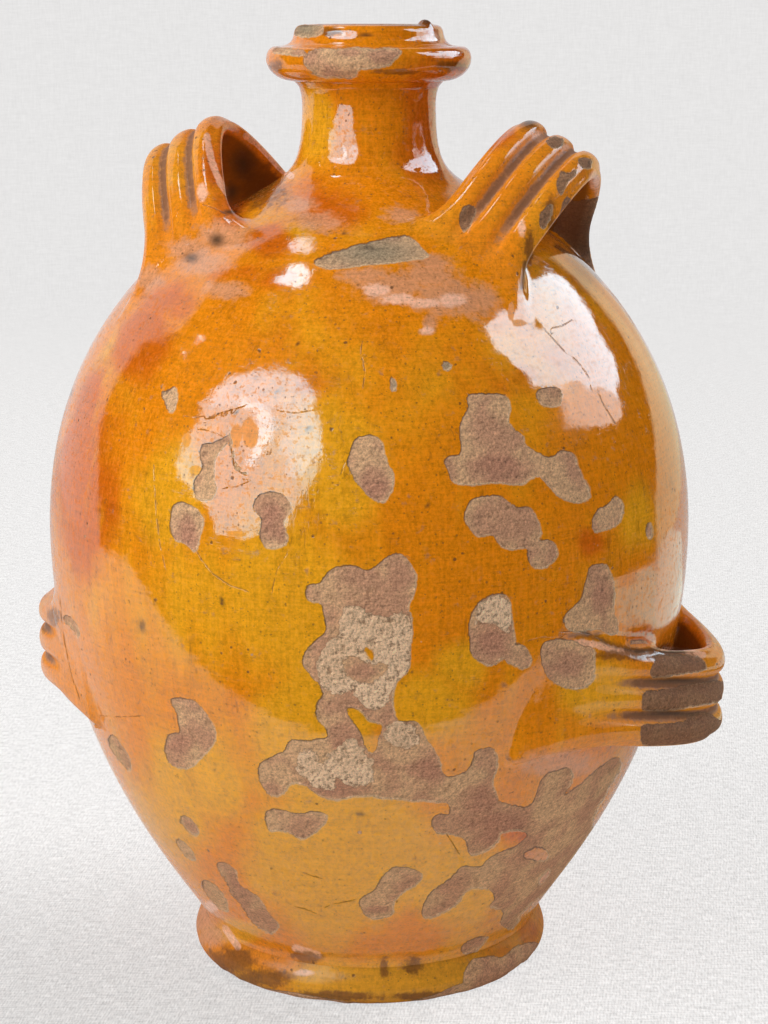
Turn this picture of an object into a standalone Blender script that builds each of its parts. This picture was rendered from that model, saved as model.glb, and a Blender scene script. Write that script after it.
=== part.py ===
"""Four-handled storage jug of glazed earthenware.

The jug is thrown in sections that the potter lutes together: a foot ring, a lower body,
a shoulder, a neck and a collared rim. Four ribbed strap handles are pulled and pressed on,
two over the shoulder and two round the lower body. Each section and each handle is a
solid of its own, with a hair-thin gap where wet clay would join it to the next.

Units are metres. +Z is up, the jug's axis is Z, and Z = 0 is the surface it stands on.
The handles lie along +X and -X.
"""
from math import cos, hypot, pi, radians, sin, sqrt

import bmesh
import bpy
from mathutils import Vector

# Turned body: radii are of the outer face, heights are above the ground, and each rise
# is from the height before it
FOOT_RADIUS = 0.0802
FOOT_BULGE = 0.0018
WAIST_RADIUS = 0.078
WAIST_HEIGHT = 0.017
BELLY_RADIUS = 0.1437
BELLY_HEIGHT = 0.200
SHOULDER_RADIUS = 0.0758
SHOULDER_RISE = 0.1333
SHOULDER_SLOPE = radians(32.4)
NECK_RADIUS = 0.0293
NECK_RISE = 0.0627
SHOULDER_HEIGHT = BELLY_HEIGHT + SHOULDER_RISE
NECK_HEIGHT = SHOULDER_HEIGHT + NECK_RISE

# Fullness of the outline: how far each curve keeps the direction of its end
WAIST_PULL = 0.0115
LOWER_BELLY_PULL = 0.109
UPPER_BELLY_PULL = 0.0845
SHOULDER_PULL = 0.017
NECK_ROOT_PULL = 0.0524
NECK_PULL = 0.0471

# Clay
WALL = 0.008
FLOOR_THICKNESS = 0.015
FLOOR_CORNER = 0.014
SEAM = 0.0003
NECK_SEAM_RADIUS = 0.049

# Foot ring: its outer face bulges above the ground, then draws in to the waist
FOOT_BULGE_HEIGHT = 0.007
FOOT_DRAW_HEIGHT = 0.0125
RING_WIDTH = 0.013
BASE_LIFT = 0.007

# Rim: a thick collar round the neck, and a small lip above it
COLLAR_RADIUS = 0.0445
COLLAR_UNDERCUT = 0.0035
COVE_HEIGHT = 0.011
COVE_STEPS = 4
COLLAR_LOWER_ROUND = 0.0095
COLLAR_UPPER_ROUND = 0.0052
COLLAR_EDGE = 0.004
LIP_RADIUS = 0.0338
LIP_HEIGHT = 0.0092
LIP_TAPER = 0.003
LIP_ROUND = 0.002
MOUTH_FLARE = 0.0015
MOUTH_FLARE_DEPTH = 0.005

# Bead of glaze that ran together on the lip in the kiln
BEAD_RADIUS = 0.0032
BEAD_RISE = 0.0022
BEAD_AZIMUTH = radians(-14.5)

# Strap handles. The chord is the level line between a strap's two feet. The upper
# straps are set by how far it lies inside the belly's radius, the lower ones by its height.
STRAP_THICKNESS = 0.011
STRAP_EDGE = 0.008
RIBS = 3
GROOVE_DEPTH = 0.003

UPPER_WIDTH = 0.0415
UPPER_FOOT_WIDTH = 0.076
UPPER_INSET = 0.0813
UPPER_HALF_SPAN = 0.058
UPPER_CROWN_RISE = 0.047
UPPER_PATH_TILT = radians(63)
UPPER_FACE_TILT = radians(62)
UPPER_SPRING_ANGLE = radians(53.6)
UPPER_ROOT_PULL = 0.0288
UPPER_CROWN_PULL = 0.0252

LOWER_WIDTH = 0.0415
LOWER_FOOT_WIDTH = 0.060
LOWER_FOOT_HEIGHT = 0.1475
LOWER_HALF_SPAN = 0.084
LOWER_CROWN_RISE = 0.050
LOWER_PATH_TILT = radians(-17)
LOWER_FACE_TILT = 0.0
LOWER_SPRING_ANGLE = radians(41.7)
LOWER_ROOT_PULL = 0.0364
LOWER_CROWN_PULL = 0.0265

FOOT_SINK = 0.018
FLARE_START = 0.58
GROOVE_FADE_START = 0.56
GROOVE_FADE_END = 0.90
FOOT_THINNING = 0.6
FOOT_PRESS = 0.0055

# Placing by hand: each strap sits a little off true
UPPER_RIGHT_SKEW = radians(-4)
LOWER_LEFT_AZIMUTH = radians(177)
LOWER_LEFT_LIFT = 0.004
LOWER_RIGHT_ROLL = radians(-3.5)

# Fineness of the solids
TURN_STEPS = 48
CURVE_STEPS = 9
ROUND_STEPS = 4
LIP_STEPS = 2
BEAD_SEGMENTS = 10
BEAD_RINGS = 6
STRAP_STEPS = 11
POINTS_PER_RIB = 4
INNER_POINTS = 5

GLAZE_AMBER = (0.60, 0.26, 0.030, 1.0)
GLAZE_RUST = (0.52, 0.17, 0.022, 1.0)
BARE_CLAY = (0.33, 0.20, 0.15, 1.0)


def clear_scene():
    for item in list(bpy.data.objects):
        bpy.data.objects.remove(item, do_unlink=True)


def fired_clay(name, colour, roughness):
    """Return a Principled material for one piece."""
    material = bpy.data.materials.new(name)
    material.use_nodes = True
    shader = material.node_tree.nodes["Principled BSDF"]
    shader.inputs["Base Color"].default_value = colour
    shader.inputs["Roughness"].default_value = roughness
    shader.inputs["Metallic"].default_value = 0.0
    return material


def bezier(start, leave, arrive, end, steps):
    """Return steps + 1 points on a cubic curve, both ends included."""
    points = []
    for i in range(steps + 1):
        t = i / steps
        s = 1 - t
        weights = (s ** 3, 3 * s * s * t, 3 * s * t * t, t ** 3)
        corners = (start, leave, arrive, end)
        points.append(tuple(sum(w * c[k] for w, c in zip(weights, corners)) for k in (0, 1)))
    return points


def outer_outline():
    """Return the body's outer face from waist to neck as (radius, height) points."""
    waist = (WAIST_RADIUS, WAIST_HEIGHT)
    belly = (BELLY_RADIUS, BELLY_HEIGHT)
    turn = (SHOULDER_RADIUS, SHOULDER_HEIGHT)
    neck = (NECK_RADIUS, NECK_HEIGHT)
    along = (-cos(SHOULDER_SLOPE), sin(SHOULDER_SLOPE))
    wall = bezier(waist, (waist[0], waist[1] + WAIST_PULL),
                  (belly[0], belly[1] - LOWER_BELLY_PULL), belly, CURVE_STEPS)
    shoulder = bezier(belly, (belly[0], belly[1] + UPPER_BELLY_PULL),
                      (turn[0] - SHOULDER_PULL * along[0], turn[1] - SHOULDER_PULL * along[1]),
                      turn, CURVE_STEPS)
    throat = bezier(turn, (turn[0] + NECK_ROOT_PULL * along[0], turn[1] + NECK_ROOT_PULL * along[1]),
                    (neck[0], neck[1] - NECK_PULL), neck, CURVE_STEPS)
    return wall + shoulder[1:] + throat[1:]


def coved(outline):
    """Draw the neck's outer face out to the collar in a hollow curve."""
    low = NECK_HEIGHT - COVE_HEIGHT
    straight = [p for p in outline if p[1] < low - SEAM]
    edge = NECK_RADIUS + COLLAR_UNDERCUT
    hollow = quarter_round((edge, low), -COLLAR_UNDERCUT, COVE_HEIGHT, 0, COVE_STEPS)
    return straight + hollow


def offset(outline, distance):
    """Move an upward outline sideways, outwards where distance is positive."""
    moved = []
    for i, (r, z) in enumerate(outline):
        before = outline[max(i - 1, 0)]
        after = outline[min(i + 1, len(outline) - 1)]
        dr = after[0] - before[0]
        dz = after[1] - before[1]
        length = hypot(dr, dz)
        moved.append((r + distance * dz / length, z - distance * dr / length))
    return moved


def radius_at(outline, height):
    """Return an outline's radius at a height, held level past its ends."""
    for (r0, z0), (r1, z1) in zip(outline, outline[1:]):
        if z0 <= height <= z1:
            return r0 + (r1 - r0) * (height - z0) / (z1 - z0)
    return outline[0][0] if height < outline[0][1] else outline[-1][0]


def height_at(outline, radius):
    """Return the height at which an outline draws in to a radius, above the belly."""
    for (r0, z0), (r1, z1) in zip(outline, outline[1:]):
        if r0 >= radius >= r1 and z0 >= BELLY_HEIGHT:
            return z0 + (z1 - z0) * (r0 - radius) / (r0 - r1)
    return outline[-1][1]


def between(outline, low, high):
    """Return the stretch of an outline between two heights, cut level at both."""
    inside = [p for p in outline if low + SEAM < p[1] < high - SEAM]
    return [(radius_at(outline, low), low)] + inside + [(radius_at(outline, high), high)]


def quarter_round(centre, across, up, start, steps):
    """Return points on a quarter ellipse round centre, from the angle start."""
    angles = [start + i * pi / 2 / steps for i in range(steps + 1)]
    return [(centre[0] + across * cos(a), centre[1] + up * sin(a)) for a in angles]


def turned(name, outline, material, closed=True):
    """Spin an outline about Z. It goes down the outer side and up the inner side.

    An outline that is not closed has both its ends on the axis.
    """
    mesh = bpy.data.meshes.new(name)
    last = len(outline) - 1
    edges = [(i, i + 1) for i in range(last)]
    if closed:
        edges.append((last, 0))
    mesh.from_pydata([(r, 0, z) for r, z in outline], edges, [])
    piece = bpy.data.objects.new(name, mesh)
    bpy.context.collection.objects.link(piece)
    screw = piece.modifiers.new("Turn", "SCREW")
    screw.axis = "Z"
    screw.steps = TURN_STEPS
    screw.render_steps = TURN_STEPS
    screw.use_merge_vertices = True
    screw.merge_threshold = 0.00001
    screw.use_smooth_shade = True
    if material:
        mesh.materials.append(material)
    return piece


def foot_ring():
    """Clay coil round the base."""
    top = WAIST_HEIGHT - SEAM
    inner = FOOT_RADIUS - RING_WIDTH
    outside = [(WAIST_RADIUS, top), (FOOT_RADIUS, FOOT_DRAW_HEIGHT),
               (FOOT_RADIUS + FOOT_BULGE, FOOT_BULGE_HEIGHT), (FOOT_RADIUS, 0)]
    return turned("foot_ring", outside + [(inner, 0), (inner, top)],
                  fired_clay("foot_ring_clay", BARE_CLAY, 0.7))


def lower_body(outer, inner):
    """Bowl from the base to the belly: its base stands inside the foot ring."""
    seam = BELLY_HEIGHT - SEAM / 2
    floor = BASE_LIFT + FLOOR_THICKNESS
    base_radius = FOOT_RADIUS - RING_WIDTH - SEAM
    outside = between(outer, WAIST_HEIGHT, seam)[::-1]
    underside = [(base_radius, WAIST_HEIGHT), (base_radius, BASE_LIFT), (0, BASE_LIFT)]
    corner_height = floor + FLOOR_CORNER
    corner_radius = radius_at(inner, corner_height)
    corner = quarter_round((corner_radius - FLOOR_CORNER, corner_height),
                           FLOOR_CORNER, FLOOR_CORNER, -pi / 2, ROUND_STEPS)
    inside = [(0, floor)] + corner[:-1] + between(inner, corner_height, seam)
    return turned("lower_body", inside + outside + underside,
                  fired_clay("lower_body_glaze", GLAZE_AMBER, 0.2), closed=False)


def shell(name, outer, inner, low, high, material):
    """Open-ended wall between two level seams."""
    outside = between(outer, low, high)[::-1]
    inside = between(inner, low, high)
    return turned(name, outside + inside, material)


def rim(mouth_radius):
    """Collar and lip, seated on the top of the neck."""
    base = NECK_HEIGHT + SEAM / 2
    root = NECK_RADIUS + COLLAR_UNDERCUT
    edge_height = base + COLLAR_LOWER_ROUND
    collar_top = edge_height + COLLAR_UPPER_ROUND
    lip_top = collar_top + LIP_HEIGHT
    edge = (COLLAR_RADIUS - COLLAR_EDGE, edge_height)
    lip_edge = LIP_RADIUS - LIP_TAPER - LIP_ROUND
    mouth_edge = lip_edge - LIP_ROUND
    upward = quarter_round((root, edge_height), COLLAR_RADIUS - root, COLLAR_LOWER_ROUND,
                           -pi / 2, ROUND_STEPS)
    upward += quarter_round(edge, COLLAR_EDGE, COLLAR_UPPER_ROUND, 0, ROUND_STEPS)[1:]
    upward += [(LIP_RADIUS, collar_top)]
    upward += quarter_round((lip_edge, lip_top - LIP_ROUND), LIP_ROUND, LIP_ROUND, 0, LIP_STEPS)
    inside = [(mouth_edge, lip_top), (mouth_radius + MOUTH_FLARE, lip_top - MOUTH_FLARE_DEPTH),
              (mouth_radius, base)]
    piece = turned("rim", upward[::-1] + inside[::-1], fired_clay("rim_glaze", GLAZE_RUST, 0.25))
    join = piece.modifiers.new("Bead", "BOOLEAN")
    join.operation = "UNION"
    join.solver = "EXACT"
    join.object = glaze_bead((lip_edge + mouth_edge) / 2, lip_top)
    return piece


def glaze_bead(radius, lip_top):
    """Round bead on the lip, at a radius from the jug's axis."""
    bm = bmesh.new()
    bmesh.ops.create_uvsphere(bm, u_segments=BEAD_SEGMENTS, v_segments=BEAD_RINGS,
                              radius=BEAD_RADIUS)
    mesh = bpy.data.meshes.new("glaze_bead")
    bm.to_mesh(mesh)
    bm.free()
    bead = bpy.data.objects.new("glaze_bead", mesh)
    bpy.context.collection.objects.link(bead)
    bead.location = (radius * cos(BEAD_AZIMUTH), radius * sin(BEAD_AZIMUTH),
                     lip_top + BEAD_RISE - BEAD_RADIUS)
    bead.hide_render = True
    bead.display_type = "WIRE"
    return bead


def body_cutter(outer):
    """Filled body, one seam larger, that trims the handles' feet."""
    skin = offset(outer, SEAM)
    outline = [(0, NECK_HEIGHT)] + skin[::-1] + [(0, WAIST_HEIGHT)]
    cutter = turned("body_cutter", outline, None, closed=False)
    cutter.hide_render = True
    cutter.display_type = "WIRE"
    return cutter


def groove_share(from_crown):
    """Return how much of its depth a groove keeps, from 1 at the crown to 0 at the foot."""
    t = (from_crown - GROOVE_FADE_START) / (GROOVE_FADE_END - GROOVE_FADE_START)
    t = min(max(t, 0.0), 1.0)
    return 1 - t * t * (3 - 2 * t)


def strap_section(width, thickness, groove, edge):
    """Return points round the strap as (across, out): ribbed outside, plain inside."""
    count = RIBS * POINTS_PER_RIB
    points = []
    for i in range(count + 1):
        share = i / count
        dip = 0.5 + 0.5 * cos(2 * pi * RIBS * share)
        points.append(((share - 0.5) * width, thickness / 2 - groove * dip))
    for i in range(INNER_POINTS):
        share = 1 - i / (INNER_POINTS - 1)
        lift = (2 * share - 1) ** 4 * (thickness - groove - edge)
        points.append(((share - 0.5) * width, lift - thickness / 2))
    return points


def strap_path(half_span, rise, spring_angle, root_pull, crown_pull):
    """Return the strap's middle line as (along, up) points, from one foot to the other."""
    leave = (-cos(spring_angle), sin(spring_angle))
    start = (half_span - FOOT_SINK * leave[0], -FOOT_SINK * leave[1])
    half = bezier(start, (start[0] + root_pull * leave[0], start[1] + root_pull * leave[1]),
                  (crown_pull, rise), (0, rise), STRAP_STEPS)
    return half + [(-y, up) for y, up in half[-2::-1]]


def strap_mesh(name, line, path_tilt, face_tilt, width, foot_width):
    """Sweep the ribbed section along the line. The origin is midway between the feet."""
    up = Vector((cos(path_tilt), 0, sin(path_tilt)))
    across = Vector((sin(face_tilt), 0, -cos(face_tilt)))
    path = [Vector((0, y, 0)) + up * z for y, z in line]
    bm = bmesh.new()
    rings = []
    for i, centre in enumerate(path):
        tangent = (path[min(i + 1, len(path) - 1)] - path[max(i - 1, 0)]).normalized()
        side = (across - tangent * across.dot(tangent)).normalized()
        out = tangent.cross(side)
        from_crown = abs(2 * i / (len(path) - 1) - 1)
        flare = max(0.0, (from_crown - FLARE_START) / (1 - FLARE_START)) ** 2
        breadth = width + (foot_width - width) * flare
        thinner = 1 - FOOT_THINNING * flare
        groove = GROOVE_DEPTH * thinner * groove_share(from_crown)
        section = strap_section(breadth, STRAP_THICKNESS * thinner, groove, STRAP_EDGE * thinner)
        pressed = centre - out * FOOT_PRESS * flare
        rings.append([bm.verts.new(pressed + side * a + out * o) for a, o in section])
    for ring, after in zip(rings, rings[1:]):
        for k in range(len(ring)):
            j = (k + 1) % len(ring)
            bm.faces.new((ring[k], ring[j], after[j], after[k]))
    bm.faces.new(rings[0])
    bm.faces.new(rings[-1][::-1])
    bmesh.ops.recalc_face_normals(bm, faces=bm.faces)
    mesh = bpy.data.meshes.new(name)
    bm.to_mesh(mesh)
    bm.free()
    mesh.shade_smooth()
    mesh.set_sharp_from_angle(angle=radians(50))
    return mesh


def handle(name, mesh, chord, height, azimuth, skew, cutter, roll=0.0):
    """Stand a strap on the body, its feet on the surface, and trim them to it."""
    piece = bpy.data.objects.new(name, mesh)
    bpy.context.collection.objects.link(piece)
    piece.location = (chord * cos(azimuth), chord * sin(azimuth), height)
    piece.rotation_euler = (roll, 0, azimuth + skew)
    trim = piece.modifiers.new("Trim to body", "BOOLEAN")
    trim.operation = "DIFFERENCE"
    trim.solver = "EXACT"
    trim.object = cutter
    return piece


def handles(outer, cutter):
    """Make the four straps: one mesh for the upper pair, one for the lower pair."""
    glaze = fired_clay("handle_glaze", GLAZE_AMBER, 0.25)
    upper_line = strap_path(UPPER_HALF_SPAN, UPPER_CROWN_RISE, UPPER_SPRING_ANGLE,
                            UPPER_ROOT_PULL, UPPER_CROWN_PULL)
    lower_line = strap_path(LOWER_HALF_SPAN, LOWER_CROWN_RISE, LOWER_SPRING_ANGLE,
                            LOWER_ROOT_PULL, LOWER_CROWN_PULL)
    upper = strap_mesh("upper_strap", upper_line, UPPER_PATH_TILT, UPPER_FACE_TILT,
                       UPPER_WIDTH, UPPER_FOOT_WIDTH)
    lower = strap_mesh("lower_strap", lower_line, LOWER_PATH_TILT, LOWER_FACE_TILT,
                       LOWER_WIDTH, LOWER_FOOT_WIDTH)
    for mesh in (upper, lower):
        mesh.materials.append(glaze)
    upper_chord = BELLY_RADIUS - UPPER_INSET
    upper_height = height_at(outer, hypot(upper_chord, UPPER_HALF_SPAN))
    lower_chord = sqrt(radius_at(outer, LOWER_FOOT_HEIGHT) ** 2 - LOWER_HALF_SPAN ** 2)
    handle("handle_upper_right", upper, upper_chord, upper_height, 0, UPPER_RIGHT_SKEW, cutter)
    handle("handle_upper_left", upper, upper_chord, upper_height, pi, 0, cutter)
    handle("handle_lower_right", lower, lower_chord, LOWER_FOOT_HEIGHT, 0, 0, cutter,
           LOWER_RIGHT_ROLL)
    handle("handle_lower_left", lower, lower_chord, LOWER_FOOT_HEIGHT + LOWER_LEFT_LIFT,
           LOWER_LEFT_AZIMUTH, 0, cutter)


def main():
    clear_scene()
    outer = outer_outline()
    inner = offset(outer, -WALL)
    neck_seam = height_at(outer, NECK_SEAM_RADIUS)
    foot_ring()
    lower_body(outer, inner)
    shell("shoulder", outer, inner, BELLY_HEIGHT + SEAM / 2, neck_seam - SEAM / 2,
          fired_clay("shoulder_glaze", GLAZE_AMBER, 0.2))
    shell("neck", coved(outer), inner, neck_seam + SEAM / 2, NECK_HEIGHT - SEAM / 2,
          fired_clay("neck_glaze", GLAZE_RUST, 0.2))
    rim(radius_at(inner, NECK_HEIGHT))
    handles(outer, body_cutter(outer))


main()
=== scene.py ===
"""Four-handled jug of amber-glazed earthenware: surfaces, stage, lamps and camera.

Units are metres unless a name says millimetres or pixels. +Z is up and the jug stands on
Z = 0 with its handles along +X and -X. A pixel place is (across, down) in the photograph's
768 x 1024 frame.
"""

from math import cos, hypot, pi, radians, sin, sqrt
from types import SimpleNamespace

import bpy
import numpy as np
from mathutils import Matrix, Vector, kdtree
from mathutils.bvhtree import BVHTree


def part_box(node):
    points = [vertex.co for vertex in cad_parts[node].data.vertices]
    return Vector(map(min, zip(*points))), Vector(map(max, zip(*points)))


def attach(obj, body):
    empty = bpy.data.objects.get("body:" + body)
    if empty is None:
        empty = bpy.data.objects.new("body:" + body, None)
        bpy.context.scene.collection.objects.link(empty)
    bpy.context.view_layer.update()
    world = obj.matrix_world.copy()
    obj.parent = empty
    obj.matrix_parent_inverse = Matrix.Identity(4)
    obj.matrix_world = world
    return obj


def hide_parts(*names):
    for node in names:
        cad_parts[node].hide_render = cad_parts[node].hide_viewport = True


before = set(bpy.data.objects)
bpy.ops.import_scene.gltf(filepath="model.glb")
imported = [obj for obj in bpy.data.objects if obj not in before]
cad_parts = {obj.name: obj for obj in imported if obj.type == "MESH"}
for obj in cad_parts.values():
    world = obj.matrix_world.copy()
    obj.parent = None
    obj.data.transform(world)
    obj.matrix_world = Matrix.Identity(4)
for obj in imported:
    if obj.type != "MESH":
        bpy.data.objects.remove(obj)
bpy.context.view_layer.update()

MM = 0.001

# Turned outline: radii of the outer face and heights, as the solids have them
BELLY_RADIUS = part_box("lower_body")[1].y
BELLY_HEIGHT = 0.200
WAIST_RADIUS = 0.078
WAIST_HEIGHT = 0.01685
SHOULDER_RADIUS = 0.0758
SHOULDER_HEIGHT = 0.3333
SHOULDER_SLOPE = radians(32.4)
NECK_RADIUS = 0.0293
NECK_HEIGHT = 0.396
NECK_SEAM_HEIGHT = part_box("shoulder")[1].z
WAIST_PULL = 0.0115
LOWER_BELLY_PULL = 0.109
UPPER_BELLY_PULL = 0.0845
SHOULDER_PULL = 0.017
NECK_ROOT_PULL = 0.0524
NECK_PULL = 0.0471
COLLAR_UNDERCUT = 0.0035
COVE_HEIGHT = 0.011

# Clay
WALL = 0.008
FLOOR_TOP = 0.022
FLOOR_CORNER = 0.014
BASE_LIFT = 0.007
BASE_RADIUS = 0.0669
BASE_BEVEL = 0.0015
MOUTH_RADIUS = 0.0213
NECK_TOP_INNER_RADIUS = 0.0266

# Foot ring: its faces, then how its lower edge is worn away (the cut is a share of the radius)
FOOT_BULGE_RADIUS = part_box("foot_ring")[1].x
SOLE_RADIUS = 0.0786
SOLE_BEVEL = 0.001
RING_INNER_RADIUS = 0.0672
RING_SHELF_RADIUS = 0.0726
SOLE_EDGE_RADIUS = 0.0745
SOLE_EDGE_WIDTH = 0.004
SOLE_EDGE_HEIGHT = 0.006
SOLE_LIFT = 0.0011
SOLE_CUT = 0.01125

# Collar: an undercut half round, and a smaller round over it
COLLAR_HEIGHT = 0.40565
COLLAR_RADIUS = 0.0445
COLLAR_DROP = 0.0095
COLLAR_EDGE = 0.004
COLLAR_RISE = 0.0052
COLLAR_GAP = 0.00015

# Fineness of the turned surfaces, and how unevenly they are thrown
COLUMNS = 560
SKIN_STEP = 0.0016
FINE_STEP = 0.0008
INNER_STEP = 0.005
SOLE_STEP = 0.002
HUB_RADIUS = 0.001
WOBBLE = 0.00035
SEAM_REACH = 0.0006
SAME_PLACE = 2e-5

# Straps: middle line, ribbed section and place, as the solids have them
STRAP_SECTION = {
    "Stations": 230, "Points": 132, "Thickness": 0.011, "Edge": 0.0080, "Groove": 0.0030,
    "Ribs": 3.0, "Flare start": 0.58, "Groove fade": 0.56, "Thinning": 0.6, "Press": 0.0055,
    "Sink": 0.018,
}
UPPER = {
    "Width": 0.0415, "Foot width": 0.076, "Half span": 0.058, "Crown rise": 0.047,
    "Spring angle": radians(53.6), "Root pull": 0.0288, "Crown pull": 0.0252,
    "Up": (cos(radians(63)), 0, sin(radians(63))),
    "Across": (sin(radians(62)), 0, -cos(radians(62))),
}
LOWER = {
    "Width": 0.0415, "Foot width": 0.060, "Half span": 0.084, "Crown rise": 0.0493,
    "Spring angle": radians(41.7), "Root pull": 0.0364, "Crown pull": 0.0265,
    "Up": (cos(radians(-17)), 0, sin(radians(-17))),
    "Across": (0, 0, -1),
}
UPPER_INSET = 0.0813
LOWER_FOOT_HEIGHT = 0.1475
UPPER_RIGHT_SKEW = radians(-4)
LOWER_LEFT_AZIMUTH = radians(177)
LOWER_LEFT_LIFT = 0.004
LOWER_RIGHT_ROLL = radians(-3.5)

# Luting: how far the clay is smeared where a strap meets the body, and how far that can raise it
SMEAR = 0.008
MOST_RAISED = 0.0025
STRAP_SINK = 0.004
DEEPEST_IN_STRAP = 0.0042

# Bead of glaze on the lip
BEAD_AZIMUTH = radians(-14.5)
BEAD_SEAT = 0.0278
BEAD_HEIGHT = 0.41905
BEAD_RADIUS = 0.0032
BEAD_MELT = 0.0016
BEAD_ROOT = 0.0022
BEAD_REACH = 0.0085
BEAD_SEARCH = 0.008

# Floor and backdrop: how far the cloth reaches, where its near edge lies in mirrors, how much
# of it glows on its own, and the size of the threads
FLOOR_REACH = 2.6
CLOTH_EDGE = 0.285
FLOOR_GLOW = 0.78
FLOOR_THREAD = 0.0014
WALL_THREAD = 0.0056

# Lamps: azimuth and elevation in degrees, distance, width, height, and how bright the face is
LAMP_TARGET = Vector((0, 0, 0.23))
LAMPS = {
    "soft_key": (-58, 34, 1.6, 1.6, 1.5, 3.1),
    "soft_fill": (100, 40, 1.8, 1.6, 1.2, 0.8),
}

# Glaze: how deep it lies over the clay, how high the lime crust stands on bare clay, and the
# millimetres over which the edges of both fall off
GLAZE_DEPTH = 0.00035
GLAZE_EDGE = 0.9
CRUST_HEIGHT = 0.0005
CRUST_EDGE = 1.2

# The photograph's camera
PHOTO_WIDTH = 768
PHOTO_HEIGHT = 1024
FOCAL_PIXELS = 2210
EYE = Vector((0.2758, -0.9379, 0.427))
EYE_TURN = radians(16)
EYE_DIP = radians(12.85)
SENSOR = 36
PIXELS_PER_MM = 2.26

# Painting from the photograph: the step in pixels that tells lit edges from shaded ones, the
# millimetres that count as far from a patch and from a line, and where and how soon paint
# fades on a face that is turned away
EDGE_STEP = 2.0
FAR_AWAY = 8.0
LINE_REACH = 3
GRAZING = 0.02
HIDING = 30

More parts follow.
